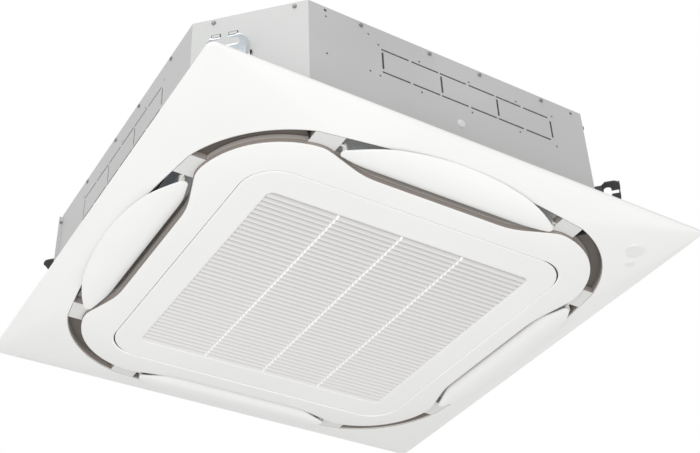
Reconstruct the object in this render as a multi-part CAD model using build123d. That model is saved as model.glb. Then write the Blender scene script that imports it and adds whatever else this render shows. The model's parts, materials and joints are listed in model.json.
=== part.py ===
"""Ceiling cassette air conditioner: a steel body hung in the ceiling void and a white panel below it.

Units are millimetres, +Z is up and the panel faces down. The origin is the centre of the four
hanger slots, at the lower face of the hanger brackets. Heights are given above the ceiling's
lower face and turned into Z by height(). The grille slats run along X.
"""

from build123d import *
import math
import os

# ---------------------------------------------------------------- driving dimensions
hanger_pitch_x = 780.0
hanger_pitch_y = 710.0
hanger_height = 135.0

casing_half = 420.0
casing_legs = {(1, -1): 131.0, (1, 1): 140.0, (-1, 1): 140.0, (-1, -1): 140.0}
casing_top = 236.0
casing_bottom = -10.0
sheet = 1.2
flange_width = 15.0
corner_tab_end = 313.0
corner_tab_fold = 6.5
dimple_place = (10.0, 92.0)
dimple_radius = 8.6

panel_half = 475.0
panel_corner = 14.0
rim_height = 5.0
panel_skin = 3.0
pillow_sections = [(475.0, 14.0, -5.0), (458.5, 75.0, -11.0), (443.0, 120.0, -16.0), (426.0, 159.0, -21.0),
                   (408.0, 195.0, -26.0), (382.0, 167.0, -31.0), (352.5, 140.0, -35.5), (328.0, 115.0, -37.6),
                   (300.0, 90.0, -39.0)]

outlet_apex = 424.0
outlet_bump = [(147.0, 417.0), (112.0, 428.8), (0.0, 438.2)]
outlet_corner_centre = 189.0
outlet_corner_radius = 225.0
outlet_corner_turn = 17.5

centre_half = 380.0
centre_corner_radius = 160.0
recess_half = 352.5
recess_knee = 148.5
recess_slope = 18.9
recess_knee_radius = 110.0
shoulder_radius = 60.0

roof_top = -11.5
roof_bottom = -14.0
roof_inner_half = 325.0
duct_near = 357.0
duct_far = 409.0
duct_half_length = 211.0

hub_near = 212.0
hub_far = 260.0
hub_cover_height = -26.0
hub_cover_thick = 1.8

pivot_reach = 390.0
pivot_height = -22.0
pivot_radius = 2.0
running_gap = 0.05
flap_tip = 206.0
flap_bow = [(112.0, 428.0), (0.0, 437.4)]
flap_end_middle = (163.0, 413.5)

seam_half = 311.0
seam_corner = 46.5
grille_half = 309.5
grille_corner = 49.5
grille_face = -39.0
grille_back = -36.0
field_half_x = 258.0
field_half_y = 251.0
field_corner = 10.0
slat_pitch = 11.95
slat_count = 42
slat_tread = 10.4
slat_rise = 3.6
slat_thick = 1.5
rib_places = [-126.0, -2.0, 122.0]
rib_width = 8.0
hinge_reach = 295.0
hinge_height = -33.2
hinge_radius = 1.2
hinge_places = [-240.0, 240.0]
latch_places = [-200.0, 200.0]
latch_reach = -296.0

fan_radius = 240.0
blade_count = 7
coil_inner = 262.0
coil_outer = 300.0
coil_gap_start = 200.0
coil_bottom = 26.0
coil_top = 220.0
pan_top = 60.0
pan_floor = 14.0
pan_bottom = -8.5
pan_opening_half = 250.0
throat_radius = 163.0
flare_radius = 188.0

gas_radius = 7.94
liquid_radius = 4.76
gas_place = (226.0, 90.0)
liquid_place = (250.0, 90.0)
drain_place = (255.0, 165.0)
drain_radius = 16.0
pipe_end = 470.0
pipe_swage = 0.4
nut_place = 442.0
nut_length = 14.0
pump_place = (300.0, 290.0)
float_place = (237.0, 283.0)

dome_place = (385.0, -391.0)
dome_radius = 18.6
lens_place = (403.0, -360.0)
lens_radius = 7.4


# ---------------------------------------------------------------- helpers
def height(above_ceiling):
    """Z of a height that is given above the ceiling's lower face."""
    return above_ceiling - hanger_height


def prism(face, low, high):
    """A flat face on the XY plane, raised between two heights."""
    return extrude(Pos(0, 0, height(low)) * face, high - low)


def block(x0, x1, y0, y1, low, high):
    """A box between two corners."""
    middle = Pos((x0 + x1) / 2, (y0 + y1) / 2, height((low + high) / 2))
    return middle * Box(x1 - x0, y1 - y0, high - low)


def post(x, y, radius, low, high):
    """An upright round bar."""
    return Pos(x, y, height((low + high) / 2)) * Cylinder(radius, high - low)


def bar_x(x0, x1, y, above, radius):
    """A round bar along X."""
    return Pos((x0 + x1) / 2, y, height(above)) * Rot(0, 90, 0) * Cylinder(radius, x1 - x0)


def turned(profile):
    """A profile of (radius, height) points, turned round the Z axis."""
    points = [(radius, 0, height(above)) for radius, above in profile]
    return revolve(make_face(Polyline(*points, close=True)), Axis.Z)


def octagon(inset):
    """The body's outline, moved inwards. The front right corner is cut a little less than the rest."""
    half = casing_half - inset
    points = []
    for (sign_x, sign_y), leg in casing_legs.items():
        near = half - leg + (2 - math.sqrt(2)) * inset
        ends = [(sign_x * near, sign_y * half), (sign_x * half, sign_y * near)]
        points += ends if sign_x * sign_y < 0 else ends[::-1]
    return make_face(Polyline(*points, close=True))


def corner_reach(sign_x, sign_y):
    """Distance from the middle of the body to one of its slanted corner walls."""
    return (2 * casing_half - casing_legs[sign_x, sign_y]) / math.sqrt(2)


def outlet_outline(grow):
    """The panel opening: long flat arcs, wide corner arcs and a bow that takes each flap's outer edge."""
    turn = math.radians(outlet_corner_turn)
    radius = outlet_corner_radius + grow
    near = outlet_corner_centre + radius * math.sin(turn)
    far = outlet_corner_centre + radius * math.cos(turn)
    diagonal = outlet_corner_centre + radius / math.sqrt(2)
    edges = []
    for side in range(4):
        turned_side = Rot(0, 0, 90 * side)
        edges.append(turned_side * ThreePointArc((-near, -far), (0, -outlet_apex - grow), (near, -far)))
        edges.append(turned_side * ThreePointArc((near, -far), (diagonal, -diagonal), (far, -near)))
    outline = make_face(Curve() + edges)
    (end_x, end_y), (bow_x, bow_y), (_, bow_apex) = outlet_bump
    bow = ThreePointArc((-bow_x, -bow_y - grow), (0, -bow_apex - grow), (bow_x, -bow_y - grow))
    sides = Polyline((bow_x, -bow_y - grow), (end_x, -end_y - grow), (end_x, -centre_half),
                     (-end_x, -centre_half), (-end_x, -end_y - grow), (-bow_x, -bow_y - grow))
    bump = make_face(Curve() + [bow, sides])
    for side in range(4):
        outline += Rot(0, 0, 90 * side) * bump
    return outline


def centre_outline(grow):
    """The centre panel: a rounded square with a long recess for each flap."""
    half = centre_half + grow
    outline = RectangleRounded(2 * half, 2 * half, centre_corner_radius + grow)
    slope = math.tan(math.radians(recess_slope))
    inner = recess_half + grow
    knee = recess_knee + grow * math.tan(math.radians(recess_slope / 2))
    reach = knee + (half + 20 - inner) / slope
    notch = make_face(Polyline((-knee, -inner), (-reach, -half - 20), (reach, -half - 20), (knee, -inner), close=True))
    for side in range(4):
        outline -= Rot(0, 0, 90 * side) * notch
    knees = [v for v in outline.vertices() if min(abs(v.X), abs(v.Y)) < knee + 1]
    outline = fillet(knees, recess_knee_radius - grow)
    shoulders = [v for v in outline.vertices() if abs(max(abs(v.X), abs(v.Y)) - half) < 2.5]
    shoulders = [v for v in shoulders if abs(min(abs(v.X), abs(v.Y)) - 228) < 6]
    return fillet(shoulders, shoulder_radius)


def rounded_square(half, corner):
    return RectangleRounded(2 * half, 2 * half, corner)


def pillow(shrink, lift, top):
    """The panel's gently domed form, from the rim down to the flat centre."""
    rim = rounded_square(panel_half - shrink, panel_corner - shrink)
    faces = [Pos(0, 0, height(top)) * rim]
    for half, corner, above in pillow_sections:
        faces.append(Pos(0, 0, height(above + lift)) * rounded_square(half - shrink, corner - shrink))
    return loft(faces, ruled=True)


# ---------------------------------------------------------------- body in the ceiling void
def knock_out_cutters(start):
    """The dashed slots of one blanked duct opening, cut through the front face."""
    depth = (-casing_half - 1, -casing_half + 3)
    pitch = 117.0
    cutters = []
    for panel in range(3):
        left = start + panel * pitch
        for dash in range(2):
            x0 = left - 2 + dash * 59.5
            for line in (139.0, 190.0):
                cutters.append(block(x0, x0 + 54.5, *depth, line - 1.8, line + 1.8))
    for divider in range(4):
        x0 = start + divider * pitch
        cutters.append(block(x0 - 2, x0 + 2, *depth, 146, 184))
    return cutters


def wall_hole(x, above, radius):
    middle = Pos(x, -casing_half, height(above)) * Rot(90, 0, 0)
    return middle * Cylinder(radius, 8)


def knock_out_holes(start):
    """Fixing holes above and below the blanked opening."""
    holes = []
    for offset in (-7.0, 74.0, 176.0, 277.0, 357.0):
        holes.append(wall_hole(start + offset, 198, 2.0))
        holes.append(wall_hole(start + offset, 128, 2.0))
    return holes


def lid_holes():
    """Two larger holes near the top edge, through the wall and the lid's lip."""
    return [wall_hole(-248, 228, 3.2), wall_hole(265, 226, 3.2)]


def dimple():
    """A round pressed pocket in the front wall."""
    x, above = dimple_place
    middle = Pos(x, -casing_half + 1.8, height(above)) * Rot(90, 0, 0)
    hollow = Pos(x, -casing_half + 0.6, height(above)) * Rot(90, 0, 0)
    return middle * Cylinder(dimple_radius, 3.6) - hollow * Cylinder(dimple_radius - 1, 3.6)


def corner_tab():
    """The end of the left wall, which runs past the back left corner and is folded outwards."""
    start = casing_half - casing_legs[-1, 1] - 1
    tab = block(-casing_half, -casing_half + sheet, start, corner_tab_end, casing_bottom, casing_top - sheet)
    fold = block(-casing_half - corner_tab_fold, -casing_half + sheet, corner_tab_end - sheet, corner_tab_end,
                 casing_bottom, casing_top - 6)
    return tab + fold


def casing_shell():
    """The folded steel band with a narrow flange turned in at the bottom."""
    shell = prism(octagon(0), casing_bottom, casing_top - sheet)
    shell -= prism(octagon(sheet), casing_bottom + sheet, casing_top)
    shell -= prism(octagon(sheet + flange_width), casing_bottom - 1, casing_top)
    front = knock_out_cutters(-140) + knock_out_holes(-140)
    for x, above in ((-247, 214), (-166, 214), (-247, 130), (-166, 130)):
        front.append(wall_hole(x, above, 2.0))
    front += lid_holes()
    front.append(wall_hole(*dimple_place, dimple_radius))
    shell -= front
    shell += dimple() + corner_tab()
    side = knock_out_cutters(-184) + knock_out_holes(-184)
    for turn in (-90, 180):
        shell -= [Rot(0, 0, turn) * cutter for cutter in side]
    shell -= bar_x(casing_half - 6, casing_half + 6, gas_place[0], gas_place[1], gas_radius + 3)
    shell -= bar_x(casing_half - 6, casing_half + 6, liquid_place[0], liquid_place[1], liquid_radius + 3)
    shell -= bar_x(casing_half - 6, casing_half + 6, drain_place[0], drain_place[1], drain_radius + 0.5)
    return shell


def top_plate():
    """The lid: a sheet with a turned-down lip and a shallow pressed ring over the fan motor."""
    plate = prism(octagon(0), casing_top - sheet, casing_top)
    lip = prism(octagon(sheet + 0.2), casing_top - 14, casing_top - sheet)
    lip -= prism(octagon(sheet + 1.4), casing_top - 15, casing_top)
    groove = post(0, 0, 158, casing_top - 0.6, casing_top + 1) - post(0, 0, 146, casing_top - 1, casing_top + 2)
    return plate + lip - groove - lid_holes()


def screw_y(x, y, above, radius):
    """A pan-head screw in a wall that faces -Y."""
    head = Pos(x, y - 1.25, height(above)) * Rot(90, 0, 0) * Cylinder(radius, 2.5)
    return chamfer(head.edges().sort_by(Axis.Y)[0], 0.9)


def casing_screws():
    """The screws that hold the lid, near the top edge of every wall."""
    screws = []
    for side in range(4):
        for x in (-180, -43, 62, 197):
            screws.append(Rot(0, 0, 90 * side) * screw_y(x, -casing_half, 227, 3.6))
    for side, corner in enumerate(casing_legs):
        for x in (-62, 76):
            screws.append(Rot(0, 0, 45 + 90 * side) * screw_y(x, -corner_reach(*corner), 227, 3.6))
    for above in (50, 216):
        screws.append(screw_y(-casing_half - 3.2, corner_tab_end - sheet, above, 2.6))
    return Compound(children=screws)


def at_corner(shape, sign_x, sign_y):
    """A shape drawn at the front chamfer's middle, carried to one of the four body corners."""
    rod_shift = (hanger_pitch_x - hanger_pitch_y) / 2 / math.sqrt(2)
    shape = Rot(0, 0, -45) * Pos(-rod_shift, 0, 0) * shape
    if sign_x * sign_y < 0:
        shape = mirror(shape, Plane.YZ)
    return Rot(0, 0, 90 + 90 * sign_y) * shape


def hanger_bracket(sign_x, sign_y):
    """A zinc-plated bracket with a T slot for the suspension rod, on one body corner."""
    rod_reach = (hanger_pitch_x + hanger_pitch_y) / 2 / math.sqrt(2)
    wall = corner_reach(sign_x, sign_y)
    tip = rod_reach + 23.2
    ear_points = [(-24, -wall), (-24, -wall - 15), (-33, -wall - 22), (-33, -tip)]
    ear_points += [(33, -tip), (33, -wall - 22), (24, -wall - 15), (24, -wall)]
    ear = make_face(Polyline(*ear_points, close=True))
    ear = fillet(ear.vertices().sort_by(Axis.Y)[0:2], 14)
    ear -= Pos(0, -rod_reach) * SlotOverall(36, 14)
    ear -= Pos(0, -tip + 5) * Rectangle(12, 2 * (tip - rod_reach - 2))
    plate = prism(ear, hanger_height, hanger_height + 2.5)
    lip = block(-21, 21, -tip, -tip + 2.2, hanger_height + 2.5, hanger_height + 9)
    lip -= block(-6, 6, -tip - 1, -tip + 4, hanger_height, hanger_height + 20)
    back = block(-30, 30, -wall - 2.5, -wall, hanger_height - 55, hanger_height + 2.5)
    rib = block(-24, -21.5, -wall - 16, -wall - 2.5, hanger_height - 30, hanger_height)
    rib = chamfer(rib.edges().filter_by(Axis.X).sort_by(Axis.Z)[0:1].sort_by(Axis.Y)[0:1], 10)
    bracket = plate + lip + back + rib + mirror(rib, Plane.YZ)
    for x in (-18, 18):
        bracket -= Pos(x, -wall, height(hanger_height - 42)) * Rot(90, 0, 0) * Cylinder(2.6, 12)
    return at_corner(bracket, sign_x, sign_y)


def bracket_screws():
    """Two hexagon-head screws in each hanger bracket."""
    screws = []
    for corner in casing_legs:
        for x in (-18, 18):
            where = Pos(x, -corner_reach(*corner) - 2.5, height(hanger_height - 42)) * Rot(90, 0, 0)
            screw = where * extrude(RegularPolygon(5, 6), 4)
            screws.append(at_corner(screw, *corner))
    return Compound(children=screws)


def foam_liner():
    """The heat-insulating foam on the inside of the walls."""
    liner = prism(octagon(sheet + 0.6), pan_top + 0.5, casing_top - 14.5)
    liner -= prism(octagon(sheet + 10.6), pan_top, casing_top)
    liner -= wall_hole(*dimple_place, dimple_radius + 0.3)
    for place, radius in ((gas_place, 13), (liquid_place, 13), (drain_place, drain_radius + 1)):
        liner -= bar_x(casing_half - 20, casing_half, place[0], place[1], radius)
    return liner


def top_insulation():
    """The foam pad under the lid, open round the motor."""
    return prism(octagon(3), casing_top - 9.5, casing_top - sheet - 0.3) - post(0, 0, 122, 200, 240)


# ---------------------------------------------------------------- fan
def fan_motor():
    """The motor can and its hanging flange, with a bore for the shaft."""
    motor = post(0, 0, 70, 152, 221) + post(0, 0, 108, 221, 224)
    motor = fillet(motor.edges().filter_by(GeomType.CIRCLE).sort_by(Axis.Z)[0], 8)
    motor -= post(0, 0, 6 + running_gap, 140, 200)
    return motor


def motor_mounts():
    """Four rubber bushes between the motor flange and the lid."""
    mounts = []
    for corner in range(4):
        angle = math.radians(45 + 90 * corner)
        x, y = 95 * math.cos(angle), 95 * math.sin(angle)
        bush = post(x, y, 9, 224, casing_top - sheet)
        waist = post(x, y, 20, 227, 231) - post(x, y, 7, 220, 240)
        mounts.append(bush - waist)
    return Compound(children=mounts)


def motor_shaft():
    return post(0, 0, 6, 112, 199)


def fan_blade():
    """One backward-swept blade, between two arcs."""
    def polar(radius, degrees):
        angle = math.radians(degrees)
        return (radius * math.cos(angle), radius * math.sin(angle))
    front = ThreePointArc(polar(168, 0), polar(206, -10), polar(237, -30))
    back = ThreePointArc(polar(237, -30), polar(203, -12.5), polar(168, 0))
    return make_face(Curve() + [front, back])


def turbo_fan():
    """The turbo fan wheel: domed hub plate, swept blades and inlet shroud, moulded in one."""
    hub = turned([(6.0, 124), (22, 124), (22, 135), (80, 135), (98, 200), (fan_radius, 200),
                  (fan_radius, 203), (95.5, 203), (77.5, 138), (22, 138), (22, 147), (6.0, 147)])
    shroud = turned([(171, 76), (174, 76), (180, 84), (196, 90), (fan_radius, 99),
                     (fan_radius, 102), (195, 93), (178, 87), (171, 78)])
    between = turned([(150, 88.5), (195, 91.5), (fan_radius, 100.5), (fan_radius, 201), (150, 201)])
    wheel = hub + shroud
    blade = prism(fan_blade(), 80, 202) & between
    for index in range(blade_count):
        wheel += Rot(0, 0, 360 * index / blade_count) * blade
    return wheel


def fan_nut():
    """The hexagon nut that holds the wheel on the shaft."""
    nut = prism(RegularPolygon(11, 6), 115, 124)
    return nut - post(0, 0, 6, 110, 130)


# ---------------------------------------------------------------- heat exchanger and pipes
def coil_band(inner, outer, low, high):
    """A square ring with round corners, open at the pipe corner."""
    band = rounded_square(outer, 60 + outer - coil_inner) - rounded_square(inner, 60 + inner - coil_inner)
    solid = prism(band, low, high)
    return solid - block(coil_gap_start, 400, coil_gap_start, 400, low - 5, high + 5)


def coil_end_plates():
    """The two galvanised plates that close the finned band."""
    plate = block(coil_gap_start, coil_gap_start + 1.2, coil_inner, coil_outer, coil_bottom, coil_top)
    other = block(coil_inner, coil_outer, coil_gap_start, coil_gap_start + 1.2, coil_bottom, coil_top)
    return Compound(children=[plate, other])


def coil_bends():
    """The copper hairpin bends that stand out of both end plates."""
    bends = []
    end = coil_gap_start + 1.2
    middle = (coil_inner + coil_outer) / 2
    for row in range(8):
        above = coil_bottom + 14 + 24 * row
        half_ring = Torus(9.5, 3.6, major_angle=180, align=(Align.CENTER, Align.MIN, Align.CENTER))
        bends.append(Pos(middle, end, height(above)) * half_ring)
        bends.append(Pos(end, middle, height(above)) * Rot(0, 0, -90) * half_ring)
    return Compound(children=bends)


def header_and_stub(place, radius, header_x, header_top):
    """An upright header tube and the stub that leaves through the right wall, swaged out at its end."""
    run = radius - pipe_swage
    stub = bar_x(header_x, pipe_end, place[0], place[1], run)
    header = post(header_x, place[0], run, place[1] - 30, header_top)
    end = bar_x(nut_place + nut_length, pipe_end, place[0], place[1], radius)
    tube = stub + header + end
    return tube - bar_x(header_x + radius, pipe_end + 1, place[0], place[1], run - 0.9)


def flare_nut(place, radius, across):
    """A brass flare nut on a pipe stub."""
    section = extrude(RegularPolygon(across / 2, 6), nut_length)
    nut = Pos(nut_place, place[0], height(place[1])) * Rot(0, 90, 0) * section
    return nut - bar_x(nut_place - 1, nut_place + nut_length + 1, place[0], place[1], radius - pipe_swage)


def pipe_plate():
    """The cover plate round both pipes, on the right wall."""
    plate = block(casing_half, casing_half + 1.2, 200, 268, 60, 120)
    for place, radius in ((gas_place, gas_radius), (liquid_place, liquid_radius)):
        plate -= bar_x(casing_half - 2, casing_half + 4, place[0], place[1], radius + 0.3)
    return plate


# ---------------------------------------------------------------- drain
def drain_pan():
    """The foam pan under the coil: gutter, four air ducts and a pump sump."""
    pan = prism(octagon(sheet + 0.6), pan_bottom, pan_top)
    pan -= prism(rounded_square(pan_opening_half, 60), pan_bottom - 1, pan_top + 1)
    gutter = rounded_square(coil_outer + 8, 106) - rounded_square(pan_opening_half + 8, 60)
    pan -= prism(gutter, pan_floor, pan_top + 1)
    pan -= post(pump_place[0], pump_place[1], 34, pan_floor, pan_top + 1)
    for side in range(4):
        turn = Rot(0, 0, 90 * side)
        pan -= turn * block(-duct_half_length, duct_half_length, -duct_far, -duct_near, pan_bottom - 1, pan_top + 1)
        pan -= turn * block(hub_near + 10, hub_near + 32, -402, -378, pan_bottom - 1, 1)
        for x in (-150, 150):
            pan += turn * block(x - 8, x + 8, -coil_outer - 8, -pan_opening_half - 8, pan_floor, coil_bottom)
    for x in (-300, 300):
        for y in (-300, 300):
            pan -= post(x, y, 2.5, pan_bottom - 1, 12)
    return pan


def drain_pump():
    """The small condensate pump with its outlet nozzle."""
    x, y = pump_place
    pump = post(x, y, 28, 70, 130) + post(x, y, 9, 22, 70)
    pump += block(x - 16, x + 16, drain_place[0] - 14, y + 12, 130, 180)
    return pump + bar_x(x, casing_half - 24, drain_place[0], drain_place[1], 12)


def drain_socket():
    """The drain outlet in the right wall: a flanged tube."""
    y, above = drain_place
    socket = bar_x(casing_half - 30, 458, y, above, drain_radius)
    socket += bar_x(casing_half, casing_half + 3, y, above, drain_radius + 7)
    return socket - bar_x(casing_half - 31, 459, y, above, 12.1)


def float_switch():
    """The float that stops the unit when the pan fills."""
    x, y = float_place
    cap = block(x - 10, x + 10, y - 8, y + 8, 96, 104)
    return post(x, y, 2.5, 22, 96) + post(x, y, 9, 28, 44) + cap


# ---------------------------------------------------------------- bell mouth and controls
def bell_mouth():
    """The inlet ring that leads room air into the fan, on a square plate."""
    outer = ThreePointArc((flare_radius, 0, height(-13)), (172, 0, height(12)), (throat_radius, 0, height(50)))
    outer_up = Line((throat_radius, 0, height(50)), (throat_radius, 0, height(84)))
    top = Line((throat_radius, 0, height(84)), (throat_radius + 2.5, 0, height(84)))
    inner_up = Line((throat_radius + 2.5, 0, height(84)), (throat_radius + 2.5, 0, height(50)))
    inner = ThreePointArc((throat_radius + 2.5, 0, height(50)), (175, 0, height(13)),
                          (flare_radius + 2.5, 0, height(-10.5)))
    foot = Line((flare_radius + 2.5, 0, height(-10.5)), (flare_radius, 0, height(-13)))
    ring = revolve(make_face(Curve() + [outer, outer_up, top, inner_up, inner, foot]), Axis.Z)
    plate = prism(rounded_square(285, 30) - Circle(flare_radius + 0.5), -13, -10.5)
    return plate + ring - block(-171, 171, 192, 249, -20, 5)


def control_box():
    """The steel tray for the electronics, open downwards."""
    box = block(-170, 170, 193, 248, -13, 35)
    return box - block(-169, 169, 194, 247, -14, 34)


def control_cover():
    """The screwed cover under the control box."""
    return block(-172, 172, 191, 250, -14.2, -13)


def circuit_board():
    """The main board with its relays, capacitors and terminal block."""
    board = block(-160, 160, 197, 244, 22, 23.6)
    for x, width, depth, drop in ((-130, 36, 30, 14), (-84, 22, 22, 18), (-40, 44, 26, 12), (12, 18, 30, 16),
                                  (52, 24, 24, 20), (118, 64, 22, 14)):
        board += block(x - width / 2, x + width / 2, 220 - depth / 2, 220 + depth / 2, 22 - drop, 22)
    for x in (-150, 150):
        board += post(x, 236, 3, 23.6, 34)
    return board


# ---------------------------------------------------------------- panel
def skin():
    """The panel's moulded skin, one wall thick and open at the back."""
    return pillow(0, 0, 0) - pillow(2.4, panel_skin, 6)


def hub_block(x0, x1):
    """One hinge housing, in the gap between the panel and its centre."""
    low = hub_cover_height + hub_cover_thick
    gap = outlet_outline(0) - centre_outline(0.6)
    return prism(gap, low, roof_bottom) & block(x0, x1, -430, -360, low - 1, roof_bottom + 1)


def panel_frame():
    """The outer panel: sloping rim, outlet wall, roof of the air channel and hinge housings."""
    body = pillow(0, 0, 0)
    frame = skin() - prism(outlet_outline(0), -60, 10)
    wall = prism(outlet_outline(3) - outlet_outline(0), -45, roof_top) & body
    roof = prism(outlet_outline(3) - rounded_square(roof_inner_half, 40), roof_bottom, roof_top)
    frame = frame + wall + roof
    for side in range(4):
        turn = Rot(0, 0, 90 * side)
        frame -= turn * block(-duct_half_length, duct_half_length, -duct_far, -duct_near, -20, 0)
        frame += turn * hub_block(-hub_far, -hub_near)
        frame += turn * hub_block(hub_near, hub_far)
        pin_hole = bar_x(-hub_near - 14, hub_near + 14, -pivot_reach, pivot_height, pivot_radius + running_gap)
        frame -= turn * pin_hole
        frame -= turn * block(hub_near + 10.5, hub_near + 31.5, -401.5, -378.5, -22.6, 0)
    for x in (-300, 300):
        for y in (-300, 300):
            frame += block(min(x, x * 1.12), max(x, x * 1.12), y - 12, y + 12, roof_bottom, roof_top)
            frame += block(x - 12, x + 12, min(y, y * 1.12), max(y, y * 1.12), roof_bottom, roof_top)
            frame -= post(x, y, 2.5, -20, 0)
    frame += hinge_ears()
    frame += latch_arms()
    frame -= post(dome_place[0], dome_place[1], dome_radius + 0.2, -40, 0)
    frame -= post(lens_place[0], lens_place[1], lens_radius + 0.2, -40, 0)
    return frame


def hinge_ears():
    """Two pairs of ears that hang from the roof and carry the grille's hinge pins."""
    ears = []
    for x in hinge_places:
        for shift in (-9.5, 6.5):
            arm = block(x + shift, x + shift + 3, hinge_reach - 4, roof_inner_half + 5, roof_bottom - 2, roof_bottom)
            ear = block(x + shift, x + shift + 3, hinge_reach - 3, hinge_reach + 2.3, hinge_height, roof_bottom)
            boss = bar_x(x + shift, x + shift + 3, hinge_reach, hinge_height, 2.3)
            bore = bar_x(x + shift - 1, x + shift + 4, hinge_reach, hinge_height, hinge_radius + running_gap)
            ears.append(arm + ear + boss - bore)
    return ears


def latch_arms():
    """Two arms from the roof that carry the touch latches."""
    arms = []
    for x in latch_places:
        arms.append(block(x - 12, x + 12, -roof_inner_half - 5, latch_reach + 9, roof_bottom - 2, roof_bottom))
    return arms


def centre_frame():
    """The centre panel round the grille, with its side wall and snap posts."""
    outline = centre_outline(0)
    opening = rounded_square(seam_half, seam_corner)
    body = pillow(0, 0, 0)
    frame = skin() & prism(outline, -60, -15)
    wall = prism(outline - centre_outline(-2.5), -60, roof_bottom - 1) & body
    frame = frame + wall
    frame -= prism(opening, -60, 0)
    ledge = prism(rounded_square(seam_half + 2.5, seam_corner + 2.5) - opening, -37, -26) & body
    frame += ledge
    bevel = loft([Pos(0, 0, height(-41)) * rounded_square(seam_half + 11, seam_corner + 11),
                  Pos(0, 0, height(-36.8)) * rounded_square(seam_half, seam_corner)])
    frame -= bevel
    for side in range(4):
        for x in (-180, 0, 180):
            frame += Rot(0, 0, 90 * side) * post(x, -338, 4, -34, roof_bottom)
    return frame


def hub_cover(sign):
    """The pale cover plate over one hinge housing, on the front side."""
    gap = outlet_outline(-0.3) - centre_outline(0.6)
    low = hub_cover_height
    x0, x1 = sorted((sign * (hub_near - 0.5), sign * hub_far))
    plate = prism(gap, low, low + hub_cover_thick) & block(x0, x1, -430, -360, low - 1, low + 4)
    return plate


# ---------------------------------------------------------------- flaps
def flap_outline():
    """The flap seen from below: straight towards the centre, bowed outside, tapered at both ends."""
    (bow_x, bow_y), (_, bow_apex) = flap_bow
    middle_x, middle_y = flap_end_middle
    edges = [ThreePointArc((-bow_x, -bow_y), (0, -bow_apex), (bow_x, -bow_y))]
    for sign in (-1, 1):
        edges.append(ThreePointArc((sign * bow_x, -bow_y), (sign * middle_x, -middle_y), (sign * flap_tip, -391)))
        edges.append(Polyline((sign * flap_tip, -391), (sign * flap_tip, -380), (sign * 150, -364.5)))
    edges.append(Line((-150, -364.5), (150, -364.5)))
    outline = make_face(Curve() + edges)
    knees = [v for v in outline.vertices() if v.Y > -366]
    outline = fillet(knees, 150)
    tips = [v for v in outline.vertices() if abs(v.X) > flap_tip - 1]
    return fillet(tips, 4.5)


def flap_section():
    """The flap's cross-section: rolled inner edge, full belly, long outer slope."""
    belly = (-385, height(-36.2))
    below = [ThreePointArc((-364, height(-27.2)), (-372.6, height(-33.5)), belly),
             ThreePointArc(belly, (-407, height(-33.6)), (-439, height(-19.2)))]
    above = [ThreePointArc((-439, height(-17.4)), (-407, height(-30.8)), (-385, height(-32.8))),
             ThreePointArc((-385, height(-32.8)), (-374.6, height(-30.8)), (-366.4, height(-25.2)))]
    edges = below + [Line((-439, height(-19.2)), (-439, height(-17.4)))] + above
    edges.append(Line((-366.4, height(-25.2)), (-364, height(-27.2))))
    return make_face(Curve() + edges)


def flap():
    """One air flap of the front side, with end arms and pivot pins."""
    section = Plane.YZ * flap_section()
    blade = extrude(section, 230, both=True) & prism(flap_outline(), -60, 0)
    blade += block(-150, 150, -386.2, -383.8, -33.2, -29)
    for sign in (-1, 1):
        x0, x1 = sorted((sign * 200.5, sign * 203.5))
        arm = block(x0, x1, -394.5, -385.5, -33, pivot_height)
        arm += bar_x(x0, x1, -pivot_reach, pivot_height, 4.5)
        p0, p1 = sorted((sign * 203.5, sign * (hub_near + 13)))
        arm += bar_x(p0, p1, -pivot_reach, pivot_height, pivot_radius)
        blade += arm
    return blade


def flap_motor():
    """The small stepper motor at the flap's right end, over the pivot."""
    body = bar_x(hub_near + 13.2, hub_near + 29, -pivot_reach, -12.6, 9.8)
    ears = block(hub_near + 13.2, hub_near + 14.4, -400.5, -379.5, -18, -7)
    return body + ears


# ---------------------------------------------------------------- grille
def suction_grille():
    """The hinged intake grille: plate, louvre field, ribs, hinge lugs and filter rests."""
    plate = prism(rounded_square(grille_half, grille_corner), grille_face, grille_back)
    bottom = plate.edges().group_by(Axis.Z)[0]
    plate = fillet(bottom, 1.4)
    field = RectangleRounded(2 * field_half_x, 2 * field_half_y, field_corner)
    plate -= prism(field, -60, 0)
    border = RectangleRounded(2 * field_half_x + 10, 2 * field_half_y + 10, field_corner + 5) - field
    plate += prism(border, grille_face - 0.6, grille_back + 2)
    half = slat_pitch * slat_count / 2
    low = height(grille_face + 0.4)
    for index in range(slat_count):
        y = -half + index * slat_pitch + 0.6
        corners = [(y, low + slat_rise), (y + slat_tread, low), (y + slat_tread, low + slat_thick),
                   (y, low + slat_rise + slat_thick)]
        slat = Plane.YZ * make_face(Polyline(*corners, close=True))
        plate += extrude(slat, field_half_x + 1, both=True)
    for x in rib_places:
        plate += block(x - rib_width / 2, x + rib_width / 2, -field_half_y - 1, field_half_y + 1, -38.4, -34.2)
    for x in hinge_places:
        lug = block(x - 6, x + 6, hinge_reach - 2.3, hinge_reach + 2.3, grille_back - 0.5, hinge_height)
        lug += bar_x(x - 6, x + 6, hinge_reach, hinge_height, 2.3)
        plate += lug + bar_x(x - 9.5, x + 9.5, hinge_reach, hinge_height, hinge_radius)
    for x in (-266, 266):
        for y in (-200, 0, 200):
            plate += block(x - 2.5, x + 2.5, y - 10, y + 10, grille_back - 0.5, -33.4)
    return plate


def filter_frame():
    """The air filter's plastic frame with two cross bars."""
    frame = block(-270, 270, -270, 270, -33.3, -29.3)
    for x0, x1 in ((-262, -91), (-87, 87), (91, 262)):
        frame -= block(x0, x1, -262, 262, -40, -20)
    return frame


def filter_mesh():
    """The filter's three panels of fine net, in the frame's openings."""
    sheets = [block(x0, x1, -262, 262, -31.8, -31) for x0, x1 in ((-262, -91), (-87, 87), (91, 262))]
    return Compound(children=sheets)


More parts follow.
